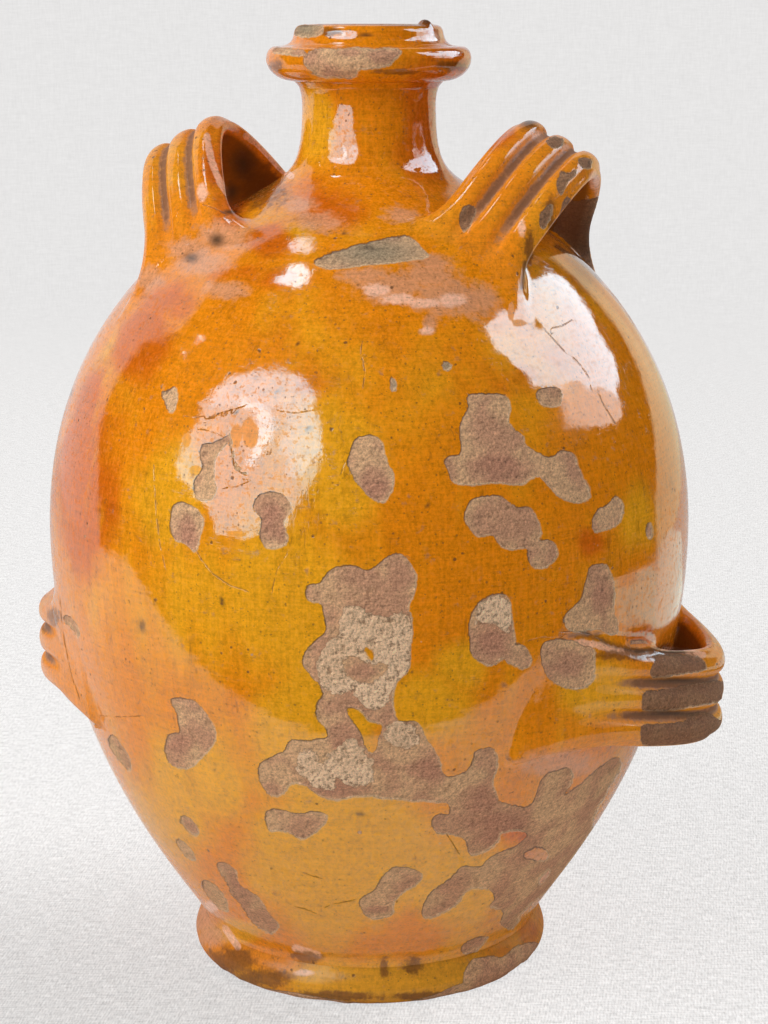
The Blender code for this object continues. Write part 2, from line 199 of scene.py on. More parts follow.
# Places in the photograph: patches where the glaze has come away
BODY_LOSSES = {
    "right_of_centre": (
        (469, 395), (504, 395), (510, 405), (510, 424), (524, 436), (527, 445), (545, 456),
        (555, 456), (561, 450), (574, 454), (579, 467), (590, 491), (585, 502), (564, 500),
        (547, 485), (539, 476), (531, 479), (521, 485), (496, 483), (472, 485), (453, 483),
        (449, 473), (444, 462), (449, 456), (461, 454), (460, 436), (461, 424), (468, 408)),
    "under_right_of_centre": (
        (472, 500), (487, 496), (502, 497), (515, 506), (530, 508), (538, 518), (542, 534),
        (539, 541), (551, 540), (557, 549), (555, 561), (542, 569), (531, 566), (528, 555),
        (527, 549), (515, 549), (502, 548), (496, 540), (492, 535), (478, 537), (469, 528),
        (464, 515)),
    "inside_right_highlight": (
        (538, 391), (551, 387), (561, 391), (561, 404), (548, 407), (539, 402)),
    "right_drop": (
        (614, 496), (622, 500), (623, 515), (616, 526), (597, 532), (592, 525), (596, 512),
        (610, 503)),
    "above_right_strap": (
        (591, 567), (604, 564), (610, 571), (614, 583), (615, 600), (614, 612), (618, 623),
        (617, 633), (610, 635), (601, 630), (590, 630), (581, 632), (568, 630), (564, 622),
        (568, 612), (581, 600), (584, 589), (587, 577)),
    "strap_root_bean": (
        (479, 603), (489, 596), (501, 594), (509, 597), (511, 609), (513, 623), (515, 643),
        (512, 655), (501, 660), (492, 666), (480, 663), (472, 655), (470, 640), (469, 623),
        (473, 612)),
    "strap_root": (
        (544, 643), (555, 640), (569, 640), (581, 645), (594, 649), (595, 660), (594, 678),
        (584, 688), (569, 689), (552, 681), (544, 669), (541, 655)),
    "strap_root_chip": (
        (515, 646), (523, 645), (531, 655), (531, 665), (523, 669), (512, 665), (506, 660)),
    "centre": (
        (307, 587), (320, 583), (327, 574), (340, 566), (354, 566), (366, 570), (374, 568),
        (384, 560), (392, 554), (404, 555), (413, 567), (417, 577), (414, 594), (409, 609),
        (412, 617), (412, 635), (410, 652), (409, 669), (397, 683), (394, 692), (393, 701),
        (394, 709), (399, 721), (417, 722), (426, 738), (434, 749), (440, 761), (442, 772),
        (450, 777), (466, 772), (473, 761), (476, 752), (488, 748), (496, 752), (498, 767),
        (493, 781), (498, 798), (499, 810), (499, 840), (479, 855), (469, 853), (466, 841),
        (452, 835), (436, 833), (432, 820), (439, 815), (450, 814), (447, 804), (423, 802),
        (409, 801), (380, 798), (369, 797), (351, 798), (334, 801), (317, 795), (303, 785),
        (291, 785), (284, 794), (274, 797), (265, 790), (258, 774), (262, 762), (283, 752),
        (291, 741), (305, 741), (320, 739), (327, 738), (326, 729), (316, 718), (317, 703),
        (323, 695), (320, 686), (313, 678), (303, 666), (305, 652), (317, 640), (326, 629),
        (323, 613), (320, 604), (308, 600)),
    "lower_right": (
        (490, 800), (518, 807), (532, 804), (539, 787), (547, 775), (567, 768), (573, 774),
        (571, 784), (565, 795), (581, 784), (598, 769), (615, 758), (621, 761), (620, 770),
        (610, 787), (601, 804), (594, 818), (592, 830), (581, 847), (567, 867), (552, 887),
        (535, 902), (523, 913), (513, 929), (501, 924), (503, 912), (490, 907), (495, 899),
        (489, 890), (469, 891), (457, 904), (437, 916), (423, 917), (424, 904), (434, 890),
        (450, 879), (463, 867), (480, 867), (493, 856), (515, 847), (528, 835), (518, 831),
        (501, 834), (488, 843), (478, 838), (480, 815)),
    "low_centre": (
        (397, 867), (412, 869), (422, 874), (419, 883), (403, 893), (394, 904), (393, 914),
        (380, 919), (367, 917), (361, 909), (361, 899), (374, 890), (386, 873)),
    "low_bar": (
        (267, 811), (283, 810), (297, 814), (314, 812), (326, 815), (326, 823), (317, 831),
        (303, 840), (288, 833), (280, 831), (268, 830)),
    "left_boomerang": (
        (171, 701), (176, 698), (194, 701), (205, 712), (215, 729), (214, 744), (202, 758),
        (188, 769), (176, 768), (168, 761), (165, 749), (169, 735), (179, 732), (178, 721),
        (176, 712)),
    "left_slip": (
        (109, 736), (116, 738), (126, 752), (131, 765), (129, 771), (119, 761), (110, 747)),
    "left_edge_chip": ((64, 616), (70, 617), (77, 626), (79, 637), (76, 637), (70, 627), (64, 622)),
    "low_left_chip": ((181, 817), (190, 818), (198, 830), (197, 836), (189, 833), (182, 825)),
    "low_left_slip": (
        (176, 840), (183, 841), (191, 850), (195, 858), (194, 861), (185, 856), (178, 847)),
    "low_left_run": (
        (217, 864), (225, 863), (235, 870), (239, 884), (248, 891), (260, 899), (268, 913),
        (278, 924), (275, 932), (265, 932), (251, 922), (242, 907), (231, 893), (225, 881),
        (218, 870)),
    "low_left_short_run": (
        (202, 883), (209, 881), (222, 893), (228, 907), (225, 912), (214, 904), (205, 893)),
    "shoulder_band": (
        (315, 260), (336, 252), (354, 246), (373, 241), (392, 237), (411, 237), (426, 252),
        (430, 257), (411, 260), (382, 264), (363, 265), (336, 269), (319, 266)),
    "fork": (
        (162, 384), (166, 393), (171, 388), (176, 388), (177, 399), (174, 411), (169, 412),
        (165, 402), (162, 396)),
    "hook": (
        (228, 425), (226, 436), (214, 442), (203, 445), (199, 454), (203, 466), (195, 479),
        (193, 491), (198, 499), (211, 500), (216, 491), (214, 476), (215, 460), (221, 450),
        (228, 443), (231, 455), (234, 468), (244, 475), (246, 473), (237, 464), (233, 448),
        (231, 438)),
    "left_shield": (
        (174, 505), (180, 502), (192, 506), (201, 514), (204, 522), (201, 534), (197, 549),
        (194, 552), (183, 543), (174, 540), (170, 525), (171, 511)),
    "left_peanut": (
        (257, 497), (266, 492), (281, 494), (290, 503), (290, 514), (284, 522), (287, 534),
        (286, 544), (275, 549), (264, 546), (260, 534), (261, 518), (253, 509)),
    "centre_drop": (
        (354, 442), (364, 436), (376, 436), (383, 445), (387, 463), (393, 473), (393, 488),
        (385, 502), (373, 499), (361, 488), (351, 473), (348, 460)),
    "pit_above_centre": ((391, 378), (395, 378), (396, 388), (393, 391), (390, 387)),
    "pit_right": ((443, 362), (450, 363), (452, 368), (446, 370), (442, 367)),
    "pit_far_right": ((648, 524), (652, 524), (653, 536), (649, 539), (646, 533)),
    "root_spot": ((631, 642), (640, 640), (648, 643), (646, 650), (634, 650)),
    "foot_top_chip": ((463, 945), (475, 939), (488, 937), (482, 946), (472, 955), (463, 953)),
}
GLAZE_ISLANDS = (
    ((364, 648), (372, 648), (374, 657), (370, 661)),
    ((348, 709), (360, 711), (369, 721), (382, 725), (380, 735), (376, 749), (370, 753),
     (364, 744), (360, 732), (350, 719)),
    ((525, 853), (538, 847), (548, 853), (545, 861), (532, 860), (526, 858)),
    ((540, 879), (549, 870), (549, 875), (541, 885)),
)
CRUSTS = (
    ((343, 607), (357, 606), (370, 614), (385, 616), (400, 612), (411, 622), (411, 655),
     (405, 672), (395, 686), (385, 706), (370, 709), (358, 700), (352, 690), (340, 694),
     (326, 690), (318, 677), (318, 660), (328, 645), (338, 632), (342, 618)),
    ((297, 757), (311, 750), (323, 762), (331, 752), (345, 742), (354, 738), (365, 752),
     (372, 762), (372, 782), (351, 785), (338, 777), (334, 790), (317, 788), (300, 775)),
    ((386, 729), (397, 721), (412, 726), (419, 738), (416, 747), (397, 748), (386, 741)),
    ((477, 608), (488, 598), (502, 597), (511, 606), (512, 622), (505, 634), (496, 622),
     (484, 622), (475, 626)),
)
CRUST_HOLES = (
    ((343, 662), (354, 655), (368, 664), (385, 662), (384, 676), (366, 684), (346, 676)),
)
HANDLE_LOSSES = {
    "lower_right_top_rib": (
        (657, 655), (696, 656), (707, 666), (704, 670), (690, 673), (655, 678), (651, 672),
        (655, 661)),
    "lower_right_middle_rib": (
        (645, 692), (667, 689), (696, 683), (722, 681), (730, 689), (728, 700), (696, 706),
        (667, 711), (645, 711), (643, 703)),
    "lower_right_bottom_rib": (
        (643, 725), (655, 724), (684, 721), (689, 715), (704, 712), (719, 719), (728, 727),
        (726, 737), (710, 745), (667, 747), (644, 746), (641, 732)),
    "upper_right_rib_low": ((541, 215), (548, 205), (552, 206), (550, 218), (545, 228), (540, 226)),
    "upper_right_rib_high": (
        (557, 180), (562, 172), (568, 174), (576, 168), (577, 173), (568, 183), (562, 195),
        (558, 190)),
    "upper_right_crown": ((578, 160), (586, 157), (592, 160), (590, 168), (582, 168)),
    "upper_right_inner_foot": (
        (462, 209), (470, 205), (476, 210), (472, 222), (464, 232), (460, 222)),
    "upper_right_inner_crown": ((547, 140), (555, 136), (563, 139), (562, 146), (552, 148)),
    "upper_right_rear_leg": (
        (566, 197), (576, 202), (603, 197), (612, 200), (612, 230), (606, 280), (588, 268),
        (565, 248), (553, 232), (560, 215)),
}
RIM_LOSSES = {
    "collar_front": (
        (306, 54), (303, 61), (309, 71), (322, 77), (344, 78), (356, 77), (359, 69), (375, 69),
        (387, 66), (397, 58), (401, 51), (391, 47), (374, 48), (356, 47), (337, 48), (317, 48)),
    "collar_left_patch": (
        (276, 47), (288, 49), (303, 50), (306, 56), (296, 56), (284, 55), (273, 52)),
    "lip_left": ((292, 23), (310, 22), (322, 25), (321, 34), (305, 37), (292, 33)),
}
FOOT_LOSSES = {
    "foot_right": (
        (466, 970), (472, 960), (492, 956), (503, 957), (515, 947), (532, 942), (541, 947),
        (540, 962), (523, 974), (500, 984), (474, 993), (463, 987)),
    "foot_front_edge": (
        (370, 1004), (400, 1004), (417, 1000), (436, 995), (464, 983), (500, 984), (505, 990),
        (460, 1003), (400, 1014), (370, 1014)),
    "foot_left_edge": (
        (203, 960), (216, 970), (229, 977), (251, 985), (273, 990), (295, 993), (311, 996),
        (339, 1001), (370, 1004), (400, 1005), (400, 1016), (330, 1018), (270, 1008), (220, 990),
        (200, 972)),
}

# Soft patches: across, down, reach across and reach down. Thin and brown lie in the glaze, and pale
# is paler glaze and chips with painted glints and sheen on the straps and the foot. Pink and grey
# stain bare clay, dull takes the gloss off, and stain darkens both: dark stains, painted shade
# under the upper left strap, and painted contact shadows where the straps meet the body.
PATCHES = {
    "rust": (
        (430, 130, 45, 110), (150, 345, 50, 60), (80, 470, 60, 150), (590, 541, 24, 26),
        (330, 205, 50, 40), (250, 275, 60, 22), (640, 636, 36, 14), (225, 205, 30, 40),
        (520, 830, 30, 20), (215, 165, 22, 46), (500, 140, 30, 30), (270, 245, 40, 26),
        (168, 298, 50, 40), (150, 332, 42, 40), (450, 58, 34, 22)),
    "yellow": (
        (250, 600, 150, 130), (330, 860, 170, 100), (300, 740, 100, 100), (430, 700, 60, 60),
        (170, 500, 60, 80), (190, 800, 80, 100), (455, 665, 46, 42), (340, 470, 60, 90),
        (440, 880, 80, 60), (318, 120, 26, 60), (640, 520, 30, 60), (600, 690, 60, 40),
        (370, 985, 230, 40), (240, 930, 60, 20)),
    "thin": (
        (368, 276, 50, 16), (392, 286, 62, 28), (445, 296, 56, 34), (430, 276, 56, 22),
        (476, 300, 40, 32), (430, 322, 12, 18), (225, 236, 46, 26), (318, 222, 44, 18),
        (400, 215, 30, 14), (560, 765, 70, 24), (200, 262, 50, 22), (205, 920, 30, 30),
        (212, 936, 28, 20), (540, 870, 30, 40), (438, 36, 10, 16), (190, 250, 40, 22),
        (225, 290, 40, 16), (300, 205, 30, 16), (150, 278, 24, 22), (430, 262, 40, 14)),
    "pale": (
        (376, 290, 24, 10), (398, 299, 30, 9), (424, 303, 26, 8), (452, 300, 22, 12),
        (426, 331, 13, 6), (304, 973, 17, 5), (202, 192, 8, 15), (537, 136, 11, 10),
        (522, 228, 6, 13), (594, 180, 9, 16), (564, 147, 10, 6), (432, 38, 14, 8),
        (212, 906, 12, 10)),
    "brown": (
        (232, 962, 44, 26), (262, 978, 50, 16), (306, 957, 28, 10), (335, 996, 80, 9),
        (427, 996, 60, 7), (54, 616, 12, 16), (46, 628, 8, 8), (384, 968, 9, 18),
        (414, 966, 15, 18), (262, 186, 42, 40), (452, 66, 26, 9), (276, 66, 12, 10),
        (330, 32, 26, 7), (395, 72, 40, 5), (529, 250, 8, 28), (550, 212, 9, 30),
        (640, 655, 90, 10)),
    "pink": (
        (382, 56, 26, 12), (350, 52, 18, 8), (345, 790, 44, 12), (340, 735, 24, 22),
        (362, 672, 30, 14), (378, 910, 20, 7), (500, 470, 60, 26), (520, 556, 26, 16),
        (360, 500, 26, 12), (425, 770, 40, 16), (500, 830, 60, 30), (180, 745, 22, 14),
        (240, 895, 24, 30), (395, 640, 14, 18), (400, 576, 24, 30), (374, 482, 24, 30),
        (274, 522, 24, 32), (188, 532, 14, 24), (492, 644, 24, 24), (570, 664, 26, 24),
        (600, 600, 14, 30), (480, 800, 30, 24)),
    "grey": ((372, 252, 76, 26), (305, 30, 26, 14), (396, 384, 8, 12), (447, 366, 8, 8)),
    "dull": (
        (250, 434, 13, 26), (236, 436, 9, 20), (187, 440, 6, 12), (196, 470, 10, 8),
        (618, 689, 36, 9), (604, 722, 40, 9), (650, 690, 40, 9), (650, 721, 40, 9),
        (236, 534, 16, 5), (511, 312, 5, 15), (519, 323, 13, 5), (638, 643, 22, 8)),
    "stain_and_shade": (
        (217, 240, 12, 11), (191, 258, 13, 8), (222, 601, 3, 7), (360, 814, 8, 4),
        (427, 506, 2.5, 2.5), (371, 248, 10, 4), (142, 626, 5, 10), (236, 412, 4, 4),
        (309, 429, 4, 5), (278, 391, 3, 3), (332, 420, 3, 2.5), (298, 344, 3, 2), (71, 391, 3, 9),
        (344, 233, 4, 3), (243, 163, 20, 26), (232, 192, 9, 14), (426, 21, 13, 11),
        (529, 122, 16, 12), (588, 633, 24, 3), (676, 680, 52, 5), (668, 713, 52, 5),
        (230, 212, 12, 4), (366, 35, 12, 3), (588, 245, 30, 60), (672, 652, 30, 3),
        (322, 259, 8, 3), (367, 247, 12, 4)),
}
# Lines in the same layers: their strength, their half width in millimetres, and the lines. The
# pale lines are painted sheen and highlights on the straps' edges and the foot, with one pale chip
# line on the foot; the stain lines are painted contact shadows where the right straps meet the
# body and along the foot's lower edge, and a dark line on the lip.
SOFT_LINES = {
    "pale": (1.0, 1.9, (
        ((207, 136), (209, 150), (213, 165), (219, 180), (227, 193)),
        ((246, 136), (258, 144), (268, 154), (278, 166), (291, 176)),
        ((225, 928), (231, 937), (238, 947)), ((295, 948), (306, 951), (318, 955)),
        ((575, 642), (596, 645), (612, 649), (628, 653), (655, 655)),
        ((664, 650), (685, 651), (703, 655)))),
    "stain_and_shade": (0.8, 1.5, (
        ((570, 636), (585, 635), (600, 639), (612, 645), (638, 651), (655, 649), (668, 645)),
        ((290, 24), (330, 22), (380, 23), (420, 24)),
        ((203, 960), (216, 973), (240, 987), (270, 996), (311, 1003), (360, 1008), (400, 1008)),
        ((400, 1008), (440, 1005), (480, 997), (520, 979), (541, 960)),
        ((556, 246), (572, 256), (588, 268), (600, 280)), ((525, 262), (523, 276), (522, 288)))),
}

# Scratches and cracks in the glaze, and painted contact shadows: the dark lines where the upper
# right strap's far leg and the lower right strap meet the body
SCRATCHES_AND_CONTACT_SHADOWS = (
    ((213, 415), (228, 411), (245, 406)), ((206, 419), (219, 417), (232, 413)),
    ((200, 429), (210, 431), (222, 436)), ((279, 411), (296, 413), (314, 410)),
    ((225, 488), (236, 487), (248, 482)), ((270, 454), (275, 436)), ((266, 450), (269, 440)),
    ((194, 547), (202, 560), (212, 573), (229, 585), (247, 591)),
    ((341, 473), (344, 465), (348, 458)), ((154, 467), (156, 511), (160, 545), (165, 567)),
    ((272, 590), (277, 570), (288, 552)), ((102, 716), (122, 717), (140, 716)),
    ((305, 873), (312, 876), (320, 878)), ((297, 907), (305, 909), (317, 914)),
    ((323, 909), (332, 904), (340, 903), (354, 900)),
    ((545, 330), (556, 342), (565, 352), (575, 359), (583, 368), (590, 380), (591, 389)),
    ((598, 391), (602, 402), (610, 415), (615, 424)), ((552, 328), (562, 326), (572, 320)),
    ((469, 394), (486, 394), (504, 395)), ((362, 356), (365, 372), (363, 386)),
    ((204, 205), (214, 208), (226, 214)), ((606, 288), (616, 298), (626, 312), (636, 328)),
    ((231, 448), (234, 466), (240, 472), (247, 476)), ((186, 416), (195, 418), (203, 416)),
    ((60, 600), (62, 625), (66, 650), (72, 676), (80, 700)), ((530, 640), (545, 637), (562, 638)),
    ((446, 833), (452, 842), (458, 852)), ((360, 360), (362, 344)),
    ((314, 263), (321, 260), (328, 256)), ((360, 249), (366, 245), (374, 246), (371, 250)),
    ((562, 632), (576, 631), (590, 634), (602, 641), (612, 648)),
)

# Losses on the side away from the photograph: azimuth from +X in degrees, then height, half
# width and half height in millimetres, and tilt in degrees
BACK_LOSSES = (
    (48, 92, 16, 24, 20), (58, 76, 20, 12, -10), (66, 118, 9, 15, 0), (92, 205, 14, 20, 25),
    (99, 192, 17, 10, 0), (106, 214, 7, 9, 0), (118, 132, 20, 14, -20), (127, 120, 12, 22, 10),
    (112, 112, 9, 7, 0), (140, 236, 12, 8, 15), (84, 262, 10, 6, 0), (147, 80, 9, 18, -25),
    (155, 96, 6, 10, 0), (76, 54, 16, 9, 5), (88, 48, 8, 12, 0), (133, 58, 13, 8, 0),
    (168, 196, 7, 12, 10), (30, 232, 9, 13, -15), (104, 300, 15, 5, 0), (62, 168, 5, 7, 0),
)

# Boards that the glaze mirrors: bright colour, distance, and the outline seen in the glaze
BOARDS = {
    "left_board": ((1.45, 3.1, 3.75), 1.2, (
        (228, 377), (244, 371), (258, 368), (275, 370), (291, 372), (303, 380), (314, 388),
        (317, 397), (316, 411), (320, 427), (317, 435), (323, 446), (320, 458), (316, 474),
        (309, 489), (300, 500), (292, 510), (288, 528), (272, 536), (259, 533), (247, 541),
        (233, 538), (217, 536), (214, 524), (206, 508), (197, 499), (187, 486), (178, 477),
        (175, 463), (180, 446), (187, 435), (197, 424), (200, 411), (197, 403), (205, 396),
        (214, 386), (222, 380))),
    "left_inner_board": ((2.4, 4.8, 6.0), 1.14, (
        (230, 379), (258, 370), (291, 374), (312, 389), (314, 411), (318, 428), (321, 446),
        (316, 464), (304, 470), (296, 478), (280, 474), (270, 482), (256, 478), (240, 484),
        (238, 470), (250, 462), (258, 450), (262, 436), (260, 420), (250, 408), (228, 412),
        (206, 408), (207, 397), (216, 387))),
    "left_core": ((4.5, 7.4, 8.8), 1.08, (
        (241, 397), (256, 400), (267, 408), (275, 424), (272, 439), (259, 452), (253, 464),
        (245, 467), (250, 452), (257, 436), (258, 421), (250, 410), (239, 407))),
    "right_board": ((4.0, 5.2, 6.0), 1.2, (
        (524, 284), (537, 277), (549, 271), (560, 277), (571, 286), (582, 300), (592, 314),
        (599, 331), (607, 347), (615, 358), (618, 375), (616, 391), (622, 411), (618, 422),
        (602, 427), (577, 427), (565, 425), (562, 405), (559, 390), (543, 386), (534, 387),
        (531, 378), (518, 366), (507, 355), (495, 348), (491, 341), (485, 328), (496, 318),
        (503, 306), (508, 296), (513, 300), (512, 316), (518, 326), (535, 327), (545, 328),
        (538, 318), (531, 308), (520, 296))),
    "right_low_board": ((3.0, 2.8, 2.7), 1.14, (
        (560, 388), (575, 380), (588, 388), (600, 384), (610, 392), (620, 400), (622, 411),
        (618, 422), (602, 427), (577, 427), (565, 425), (562, 405))),
    "low_right_wall": ((0.55, 1.12, 1.08), 0.42, (
        (614, 580), (621, 587), (634, 582), (638, 572), (645, 571), (650, 566), (654, 569),
        (662, 570), (664, 600), (664, 626), (651, 626), (642, 620), (636, 620), (619, 625),
        (615, 604))),
    "low_right_sheen": ((1.02, 1.22, 1.12), 0.4, (
        (658, 560), (662, 540), (670, 530), (681, 530), (682, 560), (682, 590), (677, 614),
        (668, 624), (657, 625), (655, 600))),
    "low_right_shade": ((0.06, 0.03, 0.01), 0.38, (
        (617, 630), (636, 624), (651, 629), (668, 628), (674, 634), (668, 648), (640, 650),
        (617, 644))),
    "shoulder_upper_board": ((2.8, 4.0, 4.6), 1.2, (
        (288, 246), (294, 240), (304, 238), (313, 242), (313, 250), (304, 254), (293, 252))),
    "shoulder_lower_board": ((5.0, 8.0, 9.0), 1.2, (
        (272, 280), (282, 276), (290, 264), (302, 263), (310, 270), (306, 280), (296, 288),
        (287, 285))),
    "first_glint": ((14, 16, 17), 1.1, ((197, 339), (200, 338), (201, 340), (198, 341))),
    "second_glint": ((14, 16, 17), 1.1, ((183, 352), (187, 354), (186, 355), (182, 353))),
}

# Glaze, clay and stage colours
AMBER = (0.75, 0.230, 0.005)
YELLOW = (0.78, 0.345, 0.012)
RUST = (0.60, 0.130, 0.005)
POOLED = (0.40, 0.125, 0.005)
THIN_GLAZE = (0.66, 0.310, 0.165)
# Pale glaze and chips, also painted glints and sheen on the straps and the foot
PALE_GLAZE_AND_SHEEN = (0.95, 0.560, 0.400)
# Deep brown glaze, also painted shade on the straps' undersides
DEEP_BROWN_AND_SHADE = (0.190, 0.062, 0.010)
# Specks and scratches, also painted contact shadows where the straps meet the body
SPECK_AND_CONTACT_SHADOW = (0.120, 0.050, 0.014)
MAUVE_CLAY = (0.500, 0.262, 0.150)
TAN_CLAY = (0.610, 0.365, 0.195)
PINK_CLAY = (0.400, 0.175, 0.110)
BROWN_CLAY = (0.200, 0.086, 0.038)
GREY_CLAY = (0.270, 0.215, 0.135)
GROOVE_SHADE = (0.370, 0.175, 0.095)
GROOVE_CORE = (0.110, 0.045, 0.022)
# A pale colour for chipped edges and dust, also a painted highlight on the chips' lit edges
CHIPPED_EDGE_AND_HIGHLIGHT = (0.70, 0.49, 0.29)
LIME_CRUST = (0.92, 0.63, 0.40)
# Clay between lime lumps, also painted shade in the crust's hollows
CRUST_GAP_AND_SHADE = (0.42, 0.25, 0.145)
# Dark stains, also painted shade on the chips' shaded edges, under the upper left strap and along
# joins
DARK_STAIN_AND_SHADE = (0.060, 0.036, 0.022)
CLOTH = (0.80, 0.785, 0.77)
BACKGROUND = (0.80, 0.79, 0.785)
DIM = (0.36, 0.355, 0.35)
BRIGHT = (0.50, 0.495, 0.49)
PALE_WALL = (0.80, 0.80, 0.81)
WARM_WALL = (1.22, 1.08, 0.72)
TAWNY_WALL = (0.95, 0.74, 0.52)
DIM_WALL = (0.84, 0.87, 0.64)
DARK_ROOM = (0.010, 0.008, 0.006)


class Wire:
    """One socket of a node tree, so that sums on it are written as plain Python."""

    def __init__(self, net, socket):
        self.net = net
        self.socket = socket

    def __add__(self, other):
        return self.net.math("ADD", self, other)

    def __sub__(self, other):
        return self.net.math("SUBTRACT", self, other)

    def __rsub__(self, other):
        return self.net.math("SUBTRACT", other, self)

    def __mul__(self, other):
        return self.net.math("MULTIPLY", self, other)

    def __truediv__(self, other):
        return self.net.math("DIVIDE", self, other)

    def __pow__(self, other):
        return self.net.math("POWER", self, other)

    def __neg__(self):
        return self * -1

    def __abs__(self):
        return self.net.math("ABSOLUTE", self)

    __radd__ = __add__
    __rmul__ = __mul__


class Net:
    """A node tree in the making."""

    def __init__(self, tree):
        self.tree = tree
        tree.nodes.clear()

    def node(self, kind, settings=None, values=None, output=0):
        """Add a node: first its settings, then what its sockets hold or are fed by."""
        made = self.tree.nodes.new(kind)
        for name, setting in (settings or {}).items():
            setattr(made, name, setting)
        for key, value in (values or {}).items():
            if isinstance(value, Wire):
                self.tree.links.new(value.socket, made.inputs[key])
            else:
                made.inputs[key].default_value = value
        if not made.outputs:
            return made
        return Wire(self, made.outputs[output])

    def also(self, wire, output):
        """Return another output of the node that a wire comes from."""
        return Wire(self, wire.socket.node.outputs[output])

    def math(self, operation, *values):
        return self.node("ShaderNodeMath", {"operation": operation}, dict(enumerate(values)))

    def highest(self, first, *others):
        """Return the highest of some values."""
        for other in others:
            first = self.math("MAXIMUM", first, other)
        return first

    def vector(self, operation, first, second=(0, 0, 0), output=0):
        return self.node("ShaderNodeVectorMath", {"operation": operation},
                         {0: first, 1: second}, output)

    def dot(self, first, second):
        return self.vector("DOT_PRODUCT", first, second, 1)

    def scaled(self, vector, factor):
        return self.node("ShaderNodeVectorMath", {"operation": "SCALE"}, {0: vector, 3: factor})

    def joined(self, x, y, z):
        return self.node("ShaderNodeCombineXYZ", None, {0: x, 1: y, 2: z})

    def split(self, vector):
        x = self.node("ShaderNodeSeparateXYZ", None, {0: vector})
        return x, self.also(x, 1), self.also(x, 2)

    def ease(self, value, low, high):
        """Rise smoothly from 0 to 1 while value goes from low to high."""
        return self.node("ShaderNodeMapRange", {"interpolation_type": "SMOOTHSTEP"},
                         {0: value, 1: low, 2: high})

    def mix(self, factor, first, second):
        """Blend two colours."""
        colours = [c if isinstance(c, Wire) else (*c[:3], 1) for c in (first, second)]
        return self.node("ShaderNodeMix", {"data_type": "RGBA"},
                         {0: factor, 6: colours[0], 7: colours[1]}, 2)

    def tint(self, base, colour, value, low, high, strength=1.0):
        """Lay a colour over base, more of it as value goes from low to high."""
        return self.mix(self.ease(value, low, high) * strength, base, colour)

    def noise(self, place, size, detail=2, roughness=0.5):
        """Noise whose lumps are about size metres across."""
        return self.node("ShaderNodeTexNoise", None,
                         {"Vector": place, "Scale": 1 / size, "Detail": detail,
                          "Roughness": roughness})

    def cells(self, place, size):
        """Millimetres to the nearest of scattered points about size metres apart."""
        return self.node("ShaderNodeTexVoronoi", None,
                         {"Vector": place, "Scale": 1 / size}) * (size / MM)

    def layer(self, name):
        """Read one of a piece's own point layers."""
        return self.node("ShaderNodeAttribute", {"attribute_name": name}, None, "Fac")

    def interface(self, *sockets):
        """Name a Geometry Nodes tree's inputs and return them by name."""
        self.tree.interface.new_socket("Geometry", in_out="OUTPUT",
                                       socket_type="NodeSocketGeometry")
        for name, kind in sockets:
            self.tree.interface.new_socket(name, in_out="INPUT", socket_type="NodeSocket" + kind)
        given = self.tree.nodes.new("NodeGroupInput")
        return {name: Wire(self, given.outputs[name]) for name, kind in sockets}

    def result(self, geometry, finish):
        """End a Geometry Nodes tree: weld, smooth, realize and give the material."""
        welded = self.node("GeometryNodeMergeByDistance", None,
                           {"Geometry": geometry, "Distance": 1e-6})
        smooth = self.node("GeometryNodeSetShadeSmooth", None, {0: welded})
        real = self.node("GeometryNodeRealizeInstances", None, {0: smooth})
        painted = self.node("GeometryNodeSetMaterial", None,
                            {"Geometry": real, "Material": finish})
        self.node("NodeGroupOutput", None, {0: painted})
        return self.tree


def grown(name, mesh, tree, sizes):
    """Run a Geometry Nodes tree on a mesh and keep the outcome as a plain mesh."""
    piece = bpy.data.objects.new(name, mesh)
    bpy.context.scene.collection.objects.link(piece)
    modifier = piece.modifiers.new(tree.name, "NODES")
    modifier.node_group = tree
    for item in tree.interface.items_tree:
        if item.in_out == "INPUT" and item.name in sizes:
            modifier[item.identifier] = sizes[item.name]
    seen = piece.evaluated_get(bpy.context.evaluated_depsgraph_get())
    plain = bpy.data.meshes.new_from_object(seen)
    piece.modifiers.remove(modifier)
    piece.data = plain
    if volume(plain) < 0:
        plain.flip_normals()
    return piece


def triangles(mesh):
    """Return the corners of a mesh's triangles."""
    mesh.calc_loop_triangles()
    corners = np.empty(len(mesh.loop_triangles) * 3, np.int32)
    mesh.loop_triangles.foreach_get("vertices", corners)
    return corners.reshape(-1, 3)


def places(mesh):
    """Return the places of a mesh's points."""
    points = np.empty(len(mesh.vertices) * 3, np.float32)
    mesh.vertices.foreach_get("co", points)
    return points.reshape(-1, 3).astype(float)


def volume(mesh):
    """Return a mesh's volume, below 0 where its faces point inwards."""
    a, b, c = (places(mesh)[triangles(mesh)[:, k]] for k in range(3))
    return float(np.einsum("ij,ij->i", a, np.cross(b, c)).sum() / 6)


def layer(mesh, name):
    """Read a point layer into an array."""
    values = np.empty(len(mesh.vertices), np.float32)
    mesh.attributes[name].data.foreach_get("value", values)
    return values.astype(float)


def paint(mesh, name, values):
    """Write an array into a point layer."""
    made = mesh.attributes.get(name) or mesh.attributes.new(name, "FLOAT", "POINT")
    made.data.foreach_set("value", np.asarray(values, np.float32))


# Outlines of the turned clay

def bezier(start, leave, arrive, end, steps=60):
    """Return points on a curve that leaves start and arrives at end by two pulls."""
    t = np.linspace(0, 1, steps + 1)[:, None]
    s = 1 - t
    corners = [np.array(p, float) for p in (start, leave, arrive, end)]
    return (s ** 3 * corners[0] + 3 * s * s * t * corners[1]
            + 3 * s * t * t * corners[2] + t ** 3 * corners[3])


